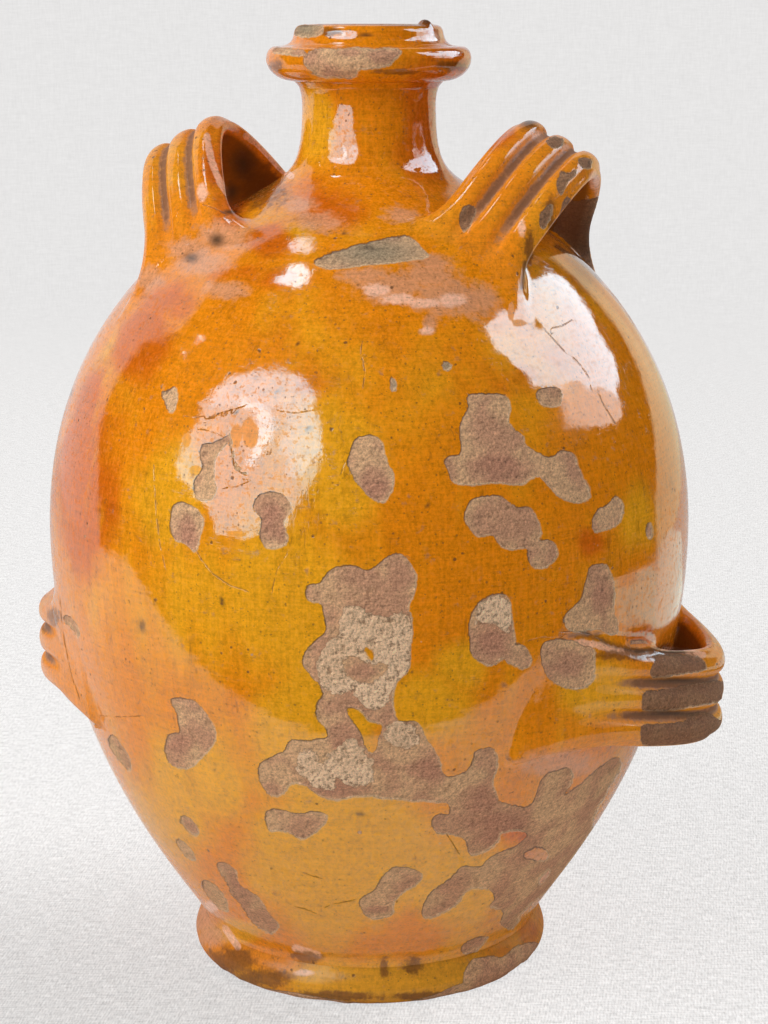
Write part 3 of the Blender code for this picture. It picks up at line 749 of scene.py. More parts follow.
def outer_outline():
    """Return the body's outer face from waist to neck as rows of (radius, height)."""
    along = np.array((-cos(SHOULDER_SLOPE), sin(SHOULDER_SLOPE)))
    waist = np.array((WAIST_RADIUS, WAIST_HEIGHT))
    belly = np.array((BELLY_RADIUS, BELLY_HEIGHT))
    turn = np.array((SHOULDER_RADIUS, SHOULDER_HEIGHT))
    neck = np.array((NECK_RADIUS, NECK_HEIGHT))
    up = np.array((0, 1))
    wall = bezier(waist, waist + WAIST_PULL * up, belly - LOWER_BELLY_PULL * up, belly)
    shoulder = bezier(belly, belly + UPPER_BELLY_PULL * up, turn - SHOULDER_PULL * along, turn)
    throat = bezier(turn, turn + NECK_ROOT_PULL * along, neck - NECK_PULL * up, neck)
    return np.vstack([wall, shoulder[1:], throat[1:]])


def facings(outline):
    """Return the outward direction at each point of an upward outline."""
    run = np.gradient(outline, axis=0)
    out = np.stack([run[:, 1], -run[:, 0]], -1)
    return out / np.linalg.norm(out, axis=1)[:, None]


def respaced(line, step):
    """Space a line's points evenly, about one step apart, with its ends kept."""
    line = np.asarray(line, float)
    run = np.concatenate([[0], np.cumsum(np.linalg.norm(np.diff(line, axis=0), axis=1))])
    at = np.linspace(0, run[-1], max(2, int(round(run[-1] / step)) + 1))
    return np.stack([np.interp(at, run, line[:, k]) for k in range(line.shape[1])], -1)


def stretch(outline, low, high):
    """Cut an upward outline level at two heights."""
    ends = [(np.interp(z, outline[:, 1], outline[:, 0]), z) for z in (low, high)]
    inside = outline[(outline[:, 1] > low + 1e-5) & (outline[:, 1] < high - 1e-5)]
    return np.vstack([ends[:1], inside, ends[1:]])


def rounded(points, parts=6, closed=False):
    """Run a smooth curve through points, parts pieces between each two."""
    points = np.asarray(points, float)
    if closed:
        ring = np.vstack([points[-1:], points, points[:2]])
    else:
        ring = np.vstack([2 * points[0] - points[1], points, 2 * points[-1] - points[-2]])
    t = np.linspace(0, 1, parts, endpoint=False)[:, None]
    curve = []
    for a, b, c, d in zip(ring, ring[1:], ring[2:], ring[3:]):
        curve.append(0.5 * (2 * b + (c - a) * t + (2 * a - 5 * b + 4 * c - d) * t ** 2
                            + (3 * b - a - 3 * c + d) * t ** 3))
    if not closed:
        curve.append(points[-1:])
    return np.vstack(curve)


def coved(outline):
    """Draw the neck out under the collar in a hollow curve."""
    rise = np.clip((outline[:, 1] - NECK_HEIGHT) / COVE_HEIGHT + 1, 0, 1)
    return outline + np.outer(1 - np.sqrt(1 - rise ** 2), (COLLAR_UNDERCUT, 0))


PLAIN = outer_outline()
INNER = PLAIN - WALL * facings(PLAIN)
OUTER = coved(PLAIN)
OUTER_FACINGS = facings(OUTER)


def turning_tree():
    """Geometry Nodes: revolve an outline drawn in X and Z about the jug's axis."""
    net = Net(bpy.data.node_groups.new("Turned clay", "GeometryNodeTree"))
    given = net.interface(("Outline", "Geometry"), ("Columns", "Int"), ("Hub radius", "Float"),
                          ("Finish", "Material"))
    hub = given["Hub radius"]
    x, _, z = net.split(net.node("GeometryNodeInputPosition"))
    line = net.node("GeometryNodeMeshToCurve", None, {0: given["Outline"]})
    profile = net.node("GeometryNodeSetPosition", None,
                       {"Geometry": line, "Position": net.joined(x - hub, -z, 0)})
    wheel = net.node("GeometryNodeCurvePrimitiveCircle", None,
                     {"Resolution": given["Columns"], "Radius": hub})
    level = net.node("GeometryNodeSetCurveNormal", {"mode": "Z_UP"}, {0: wheel})
    clay = net.node("GeometryNodeCurveToMesh", None, {"Curve": level, "Profile Curve": profile})
    return net.result(clay, given["Finish"])


def turned(name, outline, skin, finish):
    """Revolve an outline; skin is 1 at its points on the face that shows, and 0 elsewhere.

    An outline that starts on the axis stays open there. Any other is closed.
    """
    mesh = bpy.data.meshes.new(name)
    last = len(outline) - 1
    edges = [(i, i + 1) for i in range(last)]
    if outline[0][0] > 0:
        edges.append((last, 0))
    mesh.from_pydata([(r, 0, z) for r, z in outline], edges, [])
    paint(mesh, "skin", skin)
    return grown(name, mesh, TURNING,
                 {"Columns": COLUMNS, "Hub radius": HUB_RADIUS, "Finish": finish})


def strap_tree():
    """Geometry Nodes: a ribbed strap bent over from foot to foot."""
    net = Net(bpy.data.node_groups.new("Ribbed strap", "GeometryNodeTree"))
    sizes = ("Width", "Foot width", "Half span", "Crown rise", "Spring angle", "Root pull",
             "Crown pull", "Thickness", "Edge", "Groove", "Ribs", "Flare start", "Groove fade",
             "Thinning", "Press", "Sink", "Turn", "Roll")
    given = net.interface(("Geometry", "Geometry"), ("Stations", "Int"), ("Points", "Int"),
                          ("Finish", "Material"), ("Up", "Vector"), ("Across", "Vector"),
                          ("Place", "Vector"), *((name, "Float") for name in sizes))
    grid = net.node("GeometryNodeMeshGrid", None,
                    {"Size X": 1, "Size Y": 1, "Vertices X": given["Stations"],
                     "Vertices Y": given["Points"]})
    x, y, _ = net.split(net.node("GeometryNodeInputPosition"))
    along = x * 2
    way = net.math("SIGN", along)
    far = abs(along)
    near = 1 - far

    # The middle line: a curve from the sunk foot up to the crown, the same on both sides
    leave_y = -net.math("COSINE", given["Spring angle"])
    leave_z = net.math("SINE", given["Spring angle"])
    start_y = given["Half span"] - given["Sink"] * leave_y
    start_z = -(given["Sink"] * leave_z)
    root_y = start_y + given["Root pull"] * leave_y
    root_z = start_z + given["Root pull"] * leave_z
    rise = given["Crown rise"]
    pull = given["Crown pull"]
    w0, w1, w2, w3 = far ** 3, 3 * far * far * near, 3 * far * near * near, near ** 3
    line_y = -way * (w0 * start_y + w1 * root_y + w2 * pull)
    line_z = w0 * start_z + w1 * root_z + (w2 + w3) * rise
    slope_y = (far * far * (root_y - start_y) + 2 * far * near * (pull - root_y)
               - near * near * pull)
    slope_z = -way * (far * far * (root_z - start_z) + 2 * far * near * (rise - root_z))
    up = given["Up"]
    heading = net.vector("ADD", net.joined(0, slope_y, 0), net.scaled(up, slope_z))
    tangent = net.vector("NORMALIZE", heading)
    lean = net.scaled(tangent, net.dot(given["Across"], tangent))
    side = net.vector("NORMALIZE", net.vector("SUBTRACT", given["Across"], lean))
    out = net.vector("CROSS_PRODUCT", tangent, side)

    # The section: ribs in front, plain behind, flared, thinned and pressed down at the feet
    flare = net.highest((far - given["Flare start"]) / (1 - given["Flare start"]), 0) ** 2
    thinner = 1 - given["Thinning"] * flare
    breadth = given["Width"] + (given["Foot width"] - given["Width"]) * flare
    thickness = given["Thickness"] * thinner
    edge = given["Edge"] * thinner
    faded = 1 - net.ease(far, given["Groove fade"], 0.90)
    groove = given["Groove"] * thinner * faded
    share = 0.5 - 0.5 * net.math("COSINE", (1 - abs(y * 2)) * pi)
    front = net.math("LESS_THAN", y, 0)
    valley = 0.5 + 0.5 * net.math("COSINE", given["Ribs"] * share * (2 * pi))
    dip = 0.40 * valley + 0.60 * net.ease(valley, 0.38, 0.98)
    swing = abs(share * 2 - 1)
    ribbed = thickness / 2 - groove * dip
    plain = swing ** 4 * (thickness - groove - edge) - thickness / 2
    face = front * ribbed + (1 - front) * plain
    middle = thickness / 2 - groove - edge / 2
    round_edge = net.highest(1 - swing ** 7, 0) ** 0.5
    open_end = net.math("LESS_THAN", abs(x), 0.4999)
    height = (middle + (face - middle) * round_edge) * open_end
    breadth_at = (share - 0.5) * breadth * open_end
    point = net.vector("ADD", net.joined(0, line_y, 0), net.scaled(up, line_z))
    point = net.vector("ADD", point, net.scaled(side, breadth_at))
    point = net.vector("ADD", point, net.scaled(out, height - given["Press"] * flare))

    inner = net.ease(0.5 - abs(share - 0.5), 0.14, 0.22)
    marked = grid
    for name, value in (("groove", dip * front * faded * inner), ("far", far), ("front", front),
                        ("share", share)):
        marked = net.node("GeometryNodeStoreNamedAttribute",
                          {"data_type": "FLOAT", "domain": "POINT"},
                          {"Geometry": marked, "Name": name, "Value": value})
    bent = net.node("GeometryNodeSetPosition", None, {"Geometry": marked, "Position": point})
    placed = net.node("GeometryNodeTransform", None,
                      {"Geometry": bent, "Translation": given["Place"],
                       "Rotation": net.joined(given["Roll"], 0, given["Turn"])})
    return net.result(placed, given["Finish"])


def strap(name, shape, chord, height, azimuth, skew, roll):
    """Stand a strap on the body. The chord is how far its foot line is from the axis."""
    place = (chord * cos(azimuth), chord * sin(azimuth), height)
    sizes = shape | STRAP_SECTION | {"Place": place, "Turn": azimuth + skew, "Roll": roll,
                                     "Finish": STRAP_GLAZE}
    return grown(name, bpy.data.meshes.new(name), STRAPPING, sizes)


# Hand-made unevenness

def wobble(points):
    """Return how far the clay's face lies inside its true outline."""
    x, y, z = points.T
    turn = np.arctan2(y, x)
    wave = (0.42 * np.sin(2 * turn + 0.7 + 11 * z) + 0.30 * np.sin(3 * turn - 1.1 + 23 * z)
            + 0.20 * np.sin(5 * turn + 2.0 - 41 * z) + 0.08 * np.sin(9 * turn + 90 * z))
    rings = 0.06 * np.sin(2 * pi * z / 0.0062 + 0.8 * np.sin(turn + 3))
    return WOBBLE * (1.06 - wave - rings) / 2.12


def outline_distance(points):
    """Return each point's distance outside the turned body and the outward directions."""
    around = np.hypot(points[:, 0], points[:, 1])
    flat = np.stack([around, points[:, 2]], -1)
    start, end = OUTER[:-1], OUTER[1:]
    run = end - start
    best = np.full(len(flat), np.inf)
    out = np.zeros((len(flat), 2))
    signed = np.zeros(len(flat))
    for a, d, n0, n1 in zip(start, run, OUTER_FACINGS[:-1], OUTER_FACINGS[1:]):
        t = np.clip(((flat - a) @ d) / (d @ d), 0, 1)
        away = flat - a - t[:, None] * d
        gap = np.einsum("ij,ij->i", away, away)
        closer = gap < best
        best[closer] = gap[closer]
        normal = n0 + (n1 - n0) * t[closer, None]
        out[closer] = normal
        outside = np.einsum("ij,ij->i", away[closer], normal)
        signed[closer] = np.sqrt(gap[closer]) * np.sign(outside)
    out /= np.linalg.norm(out, axis=1)[:, None]
    turn = points[:, :2] / np.maximum(around, 1e-9)[:, None]
    return signed, np.column_stack([turn * out[:, :1], out[:, 1]])


def clay_distance(points):
    """Return each point's distance from the uneven clay and the outward directions."""
    distance, out = outline_distance(points)
    return distance + wobble(points), out


# Places in the photograph

EYE_RIGHT = np.array((cos(EYE_TURN), sin(EYE_TURN), 0))
EYE_FORWARD = np.array((-sin(EYE_TURN) * cos(EYE_DIP), cos(EYE_TURN) * cos(EYE_DIP),
                        -sin(EYE_DIP)))
EYE_UP = np.cross(EYE_RIGHT, EYE_FORWARD)
LEVEL_RIGHT = Vector(EYE_RIGHT)
LEVEL_AHEAD = Vector((-sin(EYE_TURN), cos(EYE_TURN), 0))


def pixels_of(points):
    """Return where the photograph shows points."""
    away = points - np.array(EYE)
    depth = away @ EYE_FORWARD
    across = PHOTO_WIDTH / 2 + FOCAL_PIXELS * (away @ EYE_RIGHT) / depth
    down = PHOTO_HEIGHT / 2 - FOCAL_PIXELS * (away @ EYE_UP) / depth
    return np.stack([across, down], -1)


def turned_away(points, facing):
    """Return how far each point's face is turned from the eye, 0 where it is seen."""
    away = np.array(EYE) - points
    away /= np.linalg.norm(away, axis=1)[:, None]
    return np.maximum(GRAZING - np.einsum("ij,ij->i", away, facing), 0)


def reach_of(pixels, outline):
    """Return the millimetres from a closed pixel outline, negative inside it."""
    ring = rounded(outline, 5, closed=True)
    run = np.roll(ring, -1, axis=0) - ring
    margin = FAR_AWAY * PIXELS_PER_MM
    reach = np.full(len(pixels), FAR_AWAY)
    near = np.all((pixels > ring.min(0) - margin) & (pixels < ring.max(0) + margin), axis=1)
    gap = pixels[near][:, None] - ring
    along = np.clip((gap * run).sum(-1) / (run * run).sum(-1), 0, 1)
    distance = np.linalg.norm(gap - along[..., None] * run, axis=-1).min(1)
    above = gap[..., 1] < 0
    crosses = above != (gap[..., 1] < run[:, 1])
    run_down = np.where(np.abs(run[:, 1]) < 1e-9, 1e-9, run[:, 1])
    left_of = gap[..., 0] < gap[..., 1] / run_down * run[:, 0]
    inside = (crosses & left_of).sum(1) % 2 == 1
    reach[near] = np.where(inside, -distance, distance) / PIXELS_PER_MM
    return reach


def nearest(pixels, outlines):
    """Return the millimetres from the nearest of some outlines, negative inside one."""
    reach = np.full(len(pixels), FAR_AWAY)
    for outline in outlines:
        reach = np.minimum(reach, reach_of(pixels, outline))
    return reach


def line_reach(pixels, lines):
    """Return signed and plain millimetres from the nearest of some open pixel lines."""
    side = np.full(len(pixels), FAR_AWAY)
    reach = np.full(len(pixels), FAR_AWAY)
    margin = LINE_REACH * PIXELS_PER_MM
    for line in lines:
        path = np.asarray(line, float)
        for start, run in zip(path[:-1], np.diff(path, axis=0)):
            low, high = np.minimum(start, start + run), np.maximum(start, start + run)
            near = np.all((pixels > low - margin) & (pixels < high + margin), axis=1)
            gap = pixels[near] - start
            along = np.clip(gap @ run / (run @ run), 0, 1)
            away = gap - along[:, None] * run
            distance = np.linalg.norm(away, axis=1) / PIXELS_PER_MM
            turn = np.sign(run[0] * gap[:, 1] - run[1] * gap[:, 0])
            closer = distance < reach[near]
            rows = np.flatnonzero(near)[closer]
            reach[rows] = distance[closer]
            side[rows] = (distance * turn)[closer]
    return side, reach


def soft_patches(pixels, patches):
    """Return 1 at the middle of each soft patch, falling to 0 at its reach."""
    strength = np.zeros(len(pixels))
    for across, down, wide, high in patches:
        q = ((pixels[:, 0] - across) / wide) ** 2 + ((pixels[:, 1] - down) / high) ** 2
        strength = np.maximum(strength, np.clip(1 - q, 0, 1) ** 2)
    return strength


def back_reach(points):
    """Return the millimetres from the losses on the far side, negative inside them."""
    reach = np.full(len(points), FAR_AWAY)
    turn = np.degrees(np.arctan2(points[:, 1], points[:, 0]))
    around = np.hypot(points[:, 0], points[:, 1]) / MM
    for number, (azimuth, height, half_width, half_height, tilt) in enumerate(BACK_LOSSES):
        across = np.radians((turn - azimuth + 180) % 360 - 180) * around
        rise = points[:, 2] / MM - height
        lean = radians(tilt)
        u = (across * cos(lean) + rise * sin(lean)) / half_width
        v = (rise * cos(lean) - across * sin(lean)) / half_height
        angle = np.arctan2(v, u)
        lobes = 1 + 0.20 * np.sin(3 * angle + number) + 0.14 * np.sin(5 * angle + 2.3 * number)
        reach = np.minimum(reach, (np.hypot(u, v) / lobes - 1) * min(half_width, half_height))
    return reach


# Turned pieces

def facing_of(points, corners):
    """Return smooth facings at points from the triangles given."""
    a, b, c = (points[corners[:, k]] for k in range(3))
    face = np.cross(b - a, c - a)
    facing = np.zeros_like(points)
    for k in range(3):
        np.add.at(facing, corners[:, k], face)
    return facing


def unit(vectors):
    """Return vectors at length 1."""
    return vectors / np.maximum(np.linalg.norm(vectors, axis=1), 1e-12)[:, None]


def arc(centre, across, up, start, stop, steps):
    """Return points on an ellipse round centre, angles in degrees."""
    angle = np.radians(np.linspace(start, stop, steps + 1))
    return np.stack([centre[0] + across * np.cos(angle), centre[1] + up * np.sin(angle)], -1)


def with_skin(*stretches):
    """Join stretches of an outline, each given with 1 if its face shows, or else 0.

    Returns the outline's points and the 1 or 0 of each point.
    """
    points = np.vstack([stretch for stretch, _ in stretches])
    return points, np.concatenate([np.full(len(stretch), shows) for stretch, shows in stretches])


def foot_outline():
    """Foot ring: its outer face from the waist down, its flat sole and its inner face."""
    outside = rounded([(WAIST_RADIUS, WAIST_HEIGHT), (0.0790, 0.0145), (0.0806, 0.0115),
                       (FOOT_BULGE_RADIUS, 0.0070), (0.0816, 0.0035), (0.0803, 0.0010),
                       (SOLE_RADIUS, 0)], 8)
    sole = respaced([(SOLE_RADIUS, 0), (RING_INNER_RADIUS + SOLE_BEVEL, 0)], SOLE_STEP)[1:]
    inside = [(RING_INNER_RADIUS, SOLE_BEVEL), (RING_INNER_RADIUS, WAIST_HEIGHT),
              (RING_SHELF_RADIUS, WAIST_HEIGHT)]
    return with_skin((respaced(outside, FINE_STEP), 1), (sole, 1), (inside, 0))


def bowl_outline():
    """Lower body: inside from the axis up to the belly, outside down to the waist, base."""
    corner_height = FLOOR_TOP + FLOOR_CORNER
    corner_radius = np.interp(corner_height, INNER[:, 1], INNER[:, 0])
    floor = [(r, FLOOR_TOP) for r in (0, 0.01, 0.02, 0.03, 0.04, 0.05)]
    centre = (corner_radius - FLOOR_CORNER, corner_height)
    corner = arc(centre, FLOOR_CORNER, FLOOR_CORNER, -90, 0, 6)
    inside = respaced(stretch(INNER, corner_height, BELLY_HEIGHT), INNER_STEP)[1:]
    outside = respaced(stretch(OUTER, WAIST_HEIGHT, BELLY_HEIGHT), SKIN_STEP)[::-1]
    base = [(BASE_RADIUS, WAIST_HEIGHT), (BASE_RADIUS, BASE_LIFT + BASE_BEVEL)]
    base += [(r, BASE_LIFT) for r in (BASE_RADIUS - BASE_BEVEL, 0.050, 0.035, 0.020, 0)]
    return with_skin((floor, 0), (corner, 0), (inside, 0), (outside, 1), (base, 0))


def wall_outline(low, high, step):
    """Shoulder or neck: the wall between two heights."""
    outside = respaced(stretch(OUTER, low, high), step)
    inside = respaced(stretch(INNER, low, high), INNER_STEP)[::-1]
    return with_skin((outside, 1), (inside, 0))


def rim_outline():
    """Collar, lip and mouth."""
    root = NECK_RADIUS + COLLAR_UNDERCUT
    seam = NECK_HEIGHT + COLLAR_GAP
    belly = (root, COLLAR_HEIGHT)
    edge = (COLLAR_RADIUS - COLLAR_EDGE, COLLAR_HEIGHT)
    under = arc(belly, COLLAR_RADIUS - root, COLLAR_DROP, -90, 0, 16)
    over = arc(edge, COLLAR_EDGE, COLLAR_RISE, 0, 80, 10)[1:]
    lip = rounded([(0.0392, 0.4109), (0.0362, 0.4114), (0.0343, 0.4124), (0.0332, 0.4138),
                   (0.0326, 0.4154), (0.0323, 0.4168), (0.0319, 0.4181), (0.0308, 0.4194),
                   (0.0290, 0.42), (0.0268, 0.42), (0.0246, 0.4184), (0.0228, 0.4162),
                   (0.0215, 0.4130), (MOUTH_RADIUS, 0.4080)], 5)
    skin = respaced(np.vstack([under, over, lip]), FINE_STEP)
    throat = [(MOUTH_RADIUS, 0.4020), (MOUTH_RADIUS, seam), (NECK_TOP_INNER_RADIUS, seam)]
    return with_skin((skin, 1), (throat, 0))


def press_sole(points):
    """Wear the foot's lower edge unevenly, as hand-cut clay."""
    turn = np.arctan2(points[:, 1], points[:, 0])
    wave = (np.sin(3 * turn + 1.1) + 0.8 * np.sin(7 * turn + 0.4) + 0.6 * np.sin(13 * turn + 2.2)
            + 0.5 * np.sin(23 * turn + 5.0))
    around = np.hypot(points[:, 0], points[:, 1])
    outer = np.clip((around - SOLE_EDGE_RADIUS) / SOLE_EDGE_WIDTH, 0, 1)
    low = np.clip(1 - points[:, 2] / SOLE_EDGE_HEIGHT, 0, 1)
    points[:, 2] += SOLE_LIFT * np.clip(wave, 0, 2.2) / 2.2 * outer * low ** 2
    inward = 1 - SOLE_CUT * np.clip(0.3 - wave, 0, 1) * low * outer
    points[:, :2] *= inward[:, None]


def smooth_union(a, b, reach):
    """Blend two distances into one, rounded over reach where they are alike."""
    near = np.clip(1 - np.abs(a - b) / reach, 0, 1)
    return np.minimum(a, b) - near * near * reach / 4


def melt_bead(points):
    """Raise the lip into the round bead of glaze that sits on it."""
    centre = np.array((BEAD_SEAT * cos(BEAD_AZIMUTH), BEAD_SEAT * sin(BEAD_AZIMUTH), BEAD_HEIGHT))
    anchor = centre - np.array((0, 0, BEAD_ROOT))
    lip = np.linalg.norm(points - anchor, axis=1)
    near = lip < BEAD_REACH
    ray = (points[near] - anchor) / lip[near, None]
    lip = lip[near]
    low, high = lip.copy(), lip + BEAD_SEARCH
    for _ in range(22):
        middle = (low + high) / 2
        bead = np.linalg.norm(anchor + ray * middle[:, None] - centre, axis=1) - BEAD_RADIUS
        inside = smooth_union(middle - lip, bead, BEAD_MELT) < 0
        low[inside] = middle[inside]
        high[~inside] = middle[~inside]
    points[near] = anchor + ray * low[:, None]


# Luting

def strap_gaps(tree, points):
    """Return each point's distance from the straps and the directions away from them."""
    gap = np.full(len(points), 1.0)
    away = np.zeros((len(points), 3))
    for i, point in enumerate(points.tolist()):
        spot, facing, _, distance = tree.find_nearest(point, 2 * SMEAR)
        if spot is None:
            continue
        out = Vector(point) - spot
        side = 1 if distance > DEEPEST_IN_STRAP or out.dot(facing) >= 0 else -1
        gap[i] = side * distance
        away[i] = facing if distance < 1e-6 else side * out / distance
    return gap, away


def luted(points, facing, other):
    """Smear points out along their facings onto the round that joins them to other.

    other gives distances and directions for points. Returns the points and their facings.
    """
    gap, away = other(points)
    near = np.flatnonzero(gap < 1.5 * SMEAR)
    start, out = points[near], facing[near]
    push = np.zeros(len(near))
    for _ in range(6):
        gap, away = other(start + push[:, None] * out)
        push = (sqrt(SMEAR) - np.sqrt(np.clip(gap, 0, SMEAR))) ** 2
        push = np.minimum(push, MOST_RAISED)
    gap, away = other(start + push[:, None] * out)
    closeness = np.clip(1 - np.abs(push - gap) / SMEAR, 0, 1)
    own = np.where(push < gap, 1 - closeness / 2, closeness / 2)[:, None]
    blended = unit(own * out + (1 - own) * away)
    settle = np.clip(closeness * 3, 0, 1)[:, None]
    points, facing = points.copy(), facing.copy()
    points[near] = start + push[:, None] * out
    facing[near] = unit(out + (blended - out) * settle)
    return points, facing


def finished(piece, points, facing, losses):
    """Give a piece its last shape, its painted layers and its smooth facings."""
    mesh = piece.data
    skin = layer(mesh, "skin")
    pixels = pixels_of(points)
    hidden = HIDING * turned_away(points, facing)
    seen = np.clip(1 - hidden * 4, 0, 1)
    bare = nearest(pixels, losses.values())
    beside = nearest(pixels + EDGE_STEP, losses.values())
    slant = (beside - bare) * PIXELS_PER_MM / hypot(EDGE_STEP, EDGE_STEP)
    raised = 0
    far_side = FAR_AWAY
    if losses is BODY_LOSSES:
        crust = np.maximum(nearest(pixels, CRUSTS), -nearest(pixels, CRUST_HOLES))
        crust = np.minimum(crust + hidden, FAR_AWAY)
        raised = CRUST_HEIGHT * np.clip(0.4 - crust / CRUST_EDGE, 0, 1)
        bare = np.maximum(bare, -nearest(pixels, GLAZE_ISLANDS))
        far_side = back_reach(points)
        paint(mesh, "crust", crust)
    bare = np.minimum(bare + hidden, far_side)
    side, reach = line_reach(pixels, SCRATCHES_AND_CONTACT_SHADOWS)
    paint(mesh, "bare", bare)
    paint(mesh, "lit", np.clip(slant, -1, 1))
    paint(mesh, "scratch_and_shadow_side", side)
    paint(mesh, "scratch_and_shadow_reach", np.minimum(reach + hidden, FAR_AWAY))
    for name, patches in PATCHES.items():
        strength = soft_patches(pixels, patches)
        if name in SOFT_LINES:
            most, width, lines = SOFT_LINES[name]
            along = most * np.clip(width - line_reach(pixels, lines)[1], 0, 1)
            strength = np.maximum(strength, along)
        paint(mesh, name, seen * strength)
    sunk = GLAZE_DEPTH * np.clip(0.5 - bare / GLAZE_EDGE, 0, 1) * skin - raised
    points = points - sunk[:, None] * facing
    mesh.vertices.foreach_set("co", points.astype(np.float32).ravel())
    mesh.normals_split_custom_set_from_vertices((facing * skin[:, None]).tolist())
    mesh.update()


def skin_corners(mesh):
    """Return the triangles whose three points all lie on the face that shows."""
    corners = triangles(mesh)
    return corners[layer(mesh, "skin")[corners].min(1) > 0.5]


def share_edge(height, first, second):
    """Give points that meet at a seam between two sections one facing for both.

    A section is its points, its facings and its skin flags.
    """
    rows = [np.flatnonzero((np.abs(points[:, 2] - height) < SEAM_REACH) & (skin > 0.5)).tolist()
            for points, _, skin in (first, second)]
    tree = kdtree.KDTree(len(rows[0]))
    for i in rows[0]:
        tree.insert(first[0][i].tolist(), i)
    tree.balance()
    for j in rows[1]:
        _, i, distance = tree.find(second[0][j].tolist())
        if distance < SAME_PLACE:
            first[1][i] = second[1][j] = first[1][i] + second[1][j]


# Finishes

# Noises of the fired surface: how space is drawn out along X, Y and Z, the size of a lump in
# metres, and how finely and how roughly it is broken up
EVEN = (1, 1, 1)
DRAWN_DOWN = (1, 1, 0.3)
NOISES = {
    "broad": (DRAWN_DOWN, 0.050, 3, 0.5),
    "smudge": (DRAWN_DOWN, 0.030, 3, 0.5),
    "cloud": (EVEN, 0.026, 4, 0.5),
    "swell": (EVEN, 0.022, 2, 0.5),
    "patchy": (EVEN, 0.016, 3, 0.45),
    "across": ((1, 1, 9), 0.011, 2, 0.5),
    "blot": (DRAWN_DOWN, 0.0105, 4, 0.6),
    "ripple": (DRAWN_DOWN, 0.0075, 2, 0.5),
    "torn": (EVEN, 0.0045, 3, 0.6),
    "upright": ((1, 1, 0.10), 0.0042, 2, 0.5),
    "fleck": (EVEN, 0.0026, 3, 0.6),
    "streak": ((1, 1, 0.06), 0.0016, 3, 0.6),
    "brushed": ((0.05, 0.05, 1), 0.0011, 3, 0.6),
    "grain": (EVEN, 0.0011, 3, 0.65),
    "dust": (EVEN, 0.0008, 3, 0.75),
}
# Painted layers that veil the glaze, the pale one also painted sheen and glints: colour, how torn
# and how speckled the edge is, where the veil starts and where it is full, and its strength
VEILS = {
    "thin": (THIN_GLAZE, 1.3, 0.9, 0.15, 1.05, 0.75),
    "pale": (PALE_GLAZE_AND_SHEEN, 1.0, 0.8, 0.15, 0.85, 0.72),
    "brown": (DEEP_BROWN_AND_SHADE, 1.8, 1.2, 0.20, 0.95, 0.80),
}
# The slanting light in which relief is drawn comes from the upper left
RAKE = Vector(EYE_RIGHT * -0.7 + np.array((0, 0, 0.7)))


def new_finish(name):
    """Make an empty material. Returns it and its node tree in the making."""
    material = bpy.data.materials.new(name)
    material.use_nodes = True
    return material, Net(material.node_tree)


def noises(net, place):
    """Return the surface's noises by name, each of them centred on 0."""
    made = {name: net.noise(net.vector("MULTIPLY", place, stretch), size, detail, rough) - 0.5
            for name, (stretch, size, detail, rough) in NOISES.items()}
    return SimpleNamespace(place=place, **made)


def raked(net, place, step, size, detail, rough):
    """Return how steeply a noise falls towards the slanting light, over a step in metres."""
    beside = net.vector("ADD", place, RAKE * step)
    return net.noise(place, size, detail, rough) - net.noise(beside, size, detail, rough)


def find_losses(net, n, wear):
    """Find bare clay: reach is the millimetres from its edge, and lit and shaded its sides."""
    chip_size = net.ease(n.cloud, -0.03, 0.25) * (1.5 + 2.0 * wear) + (wear * 0.8 - 0.30)
    chips = net.cells(n.place, 0.0125) - chip_size + n.torn * 2.0 + n.grain * 0.5
    painted = net.layer("bare") + n.torn * 2.2 + n.grain * 0.9
    n.reach = net.math("MINIMUM", painted, chips)
    n.bare = 1 - net.ease(n.reach, -0.12, 0.08)
    n.lit = net.ease(net.layer("lit"), 0.0, 0.7)
    n.shaded = net.ease(-net.layer("lit"), 0.0, 0.7)


def find_flaws(net, n):
    """Find specks, hair cracks, pinholes, iron spots, scratches and painted contact shadows."""
    n.speck = n.fleck + n.grain * 0.9
    lying = (1 - net.ease(abs(n.across), 0.004, 0.020)) * net.ease(n.torn, 0.0, 0.16)
    standing = (1 - net.ease(abs(n.upright), 0.004, 0.020)) * net.ease(n.blot, 0.02, 0.18)
    n.hair = net.highest(lying, standing)
    n.dots = 1 - net.ease(net.cells(n.place, 0.0026) + n.fleck * 1.6, 0.16, 0.44)
    n.iron = 1 - net.ease(net.cells(n.place, 0.0105) + n.fleck * 2.2, 0.35, 0.80)
    side = abs(net.layer("scratch_and_shadow_side")) + n.fleck * 0.5
    along = (1 - net.ease(net.layer("scratch_and_shadow_reach"), 1.2, 1.6)) * net.ease(n.torn, -0.14, 0.06)
    n.mark = along * (1 - net.ease(side, 0.12, 0.38)) * (1 - n.bare * 0.6)


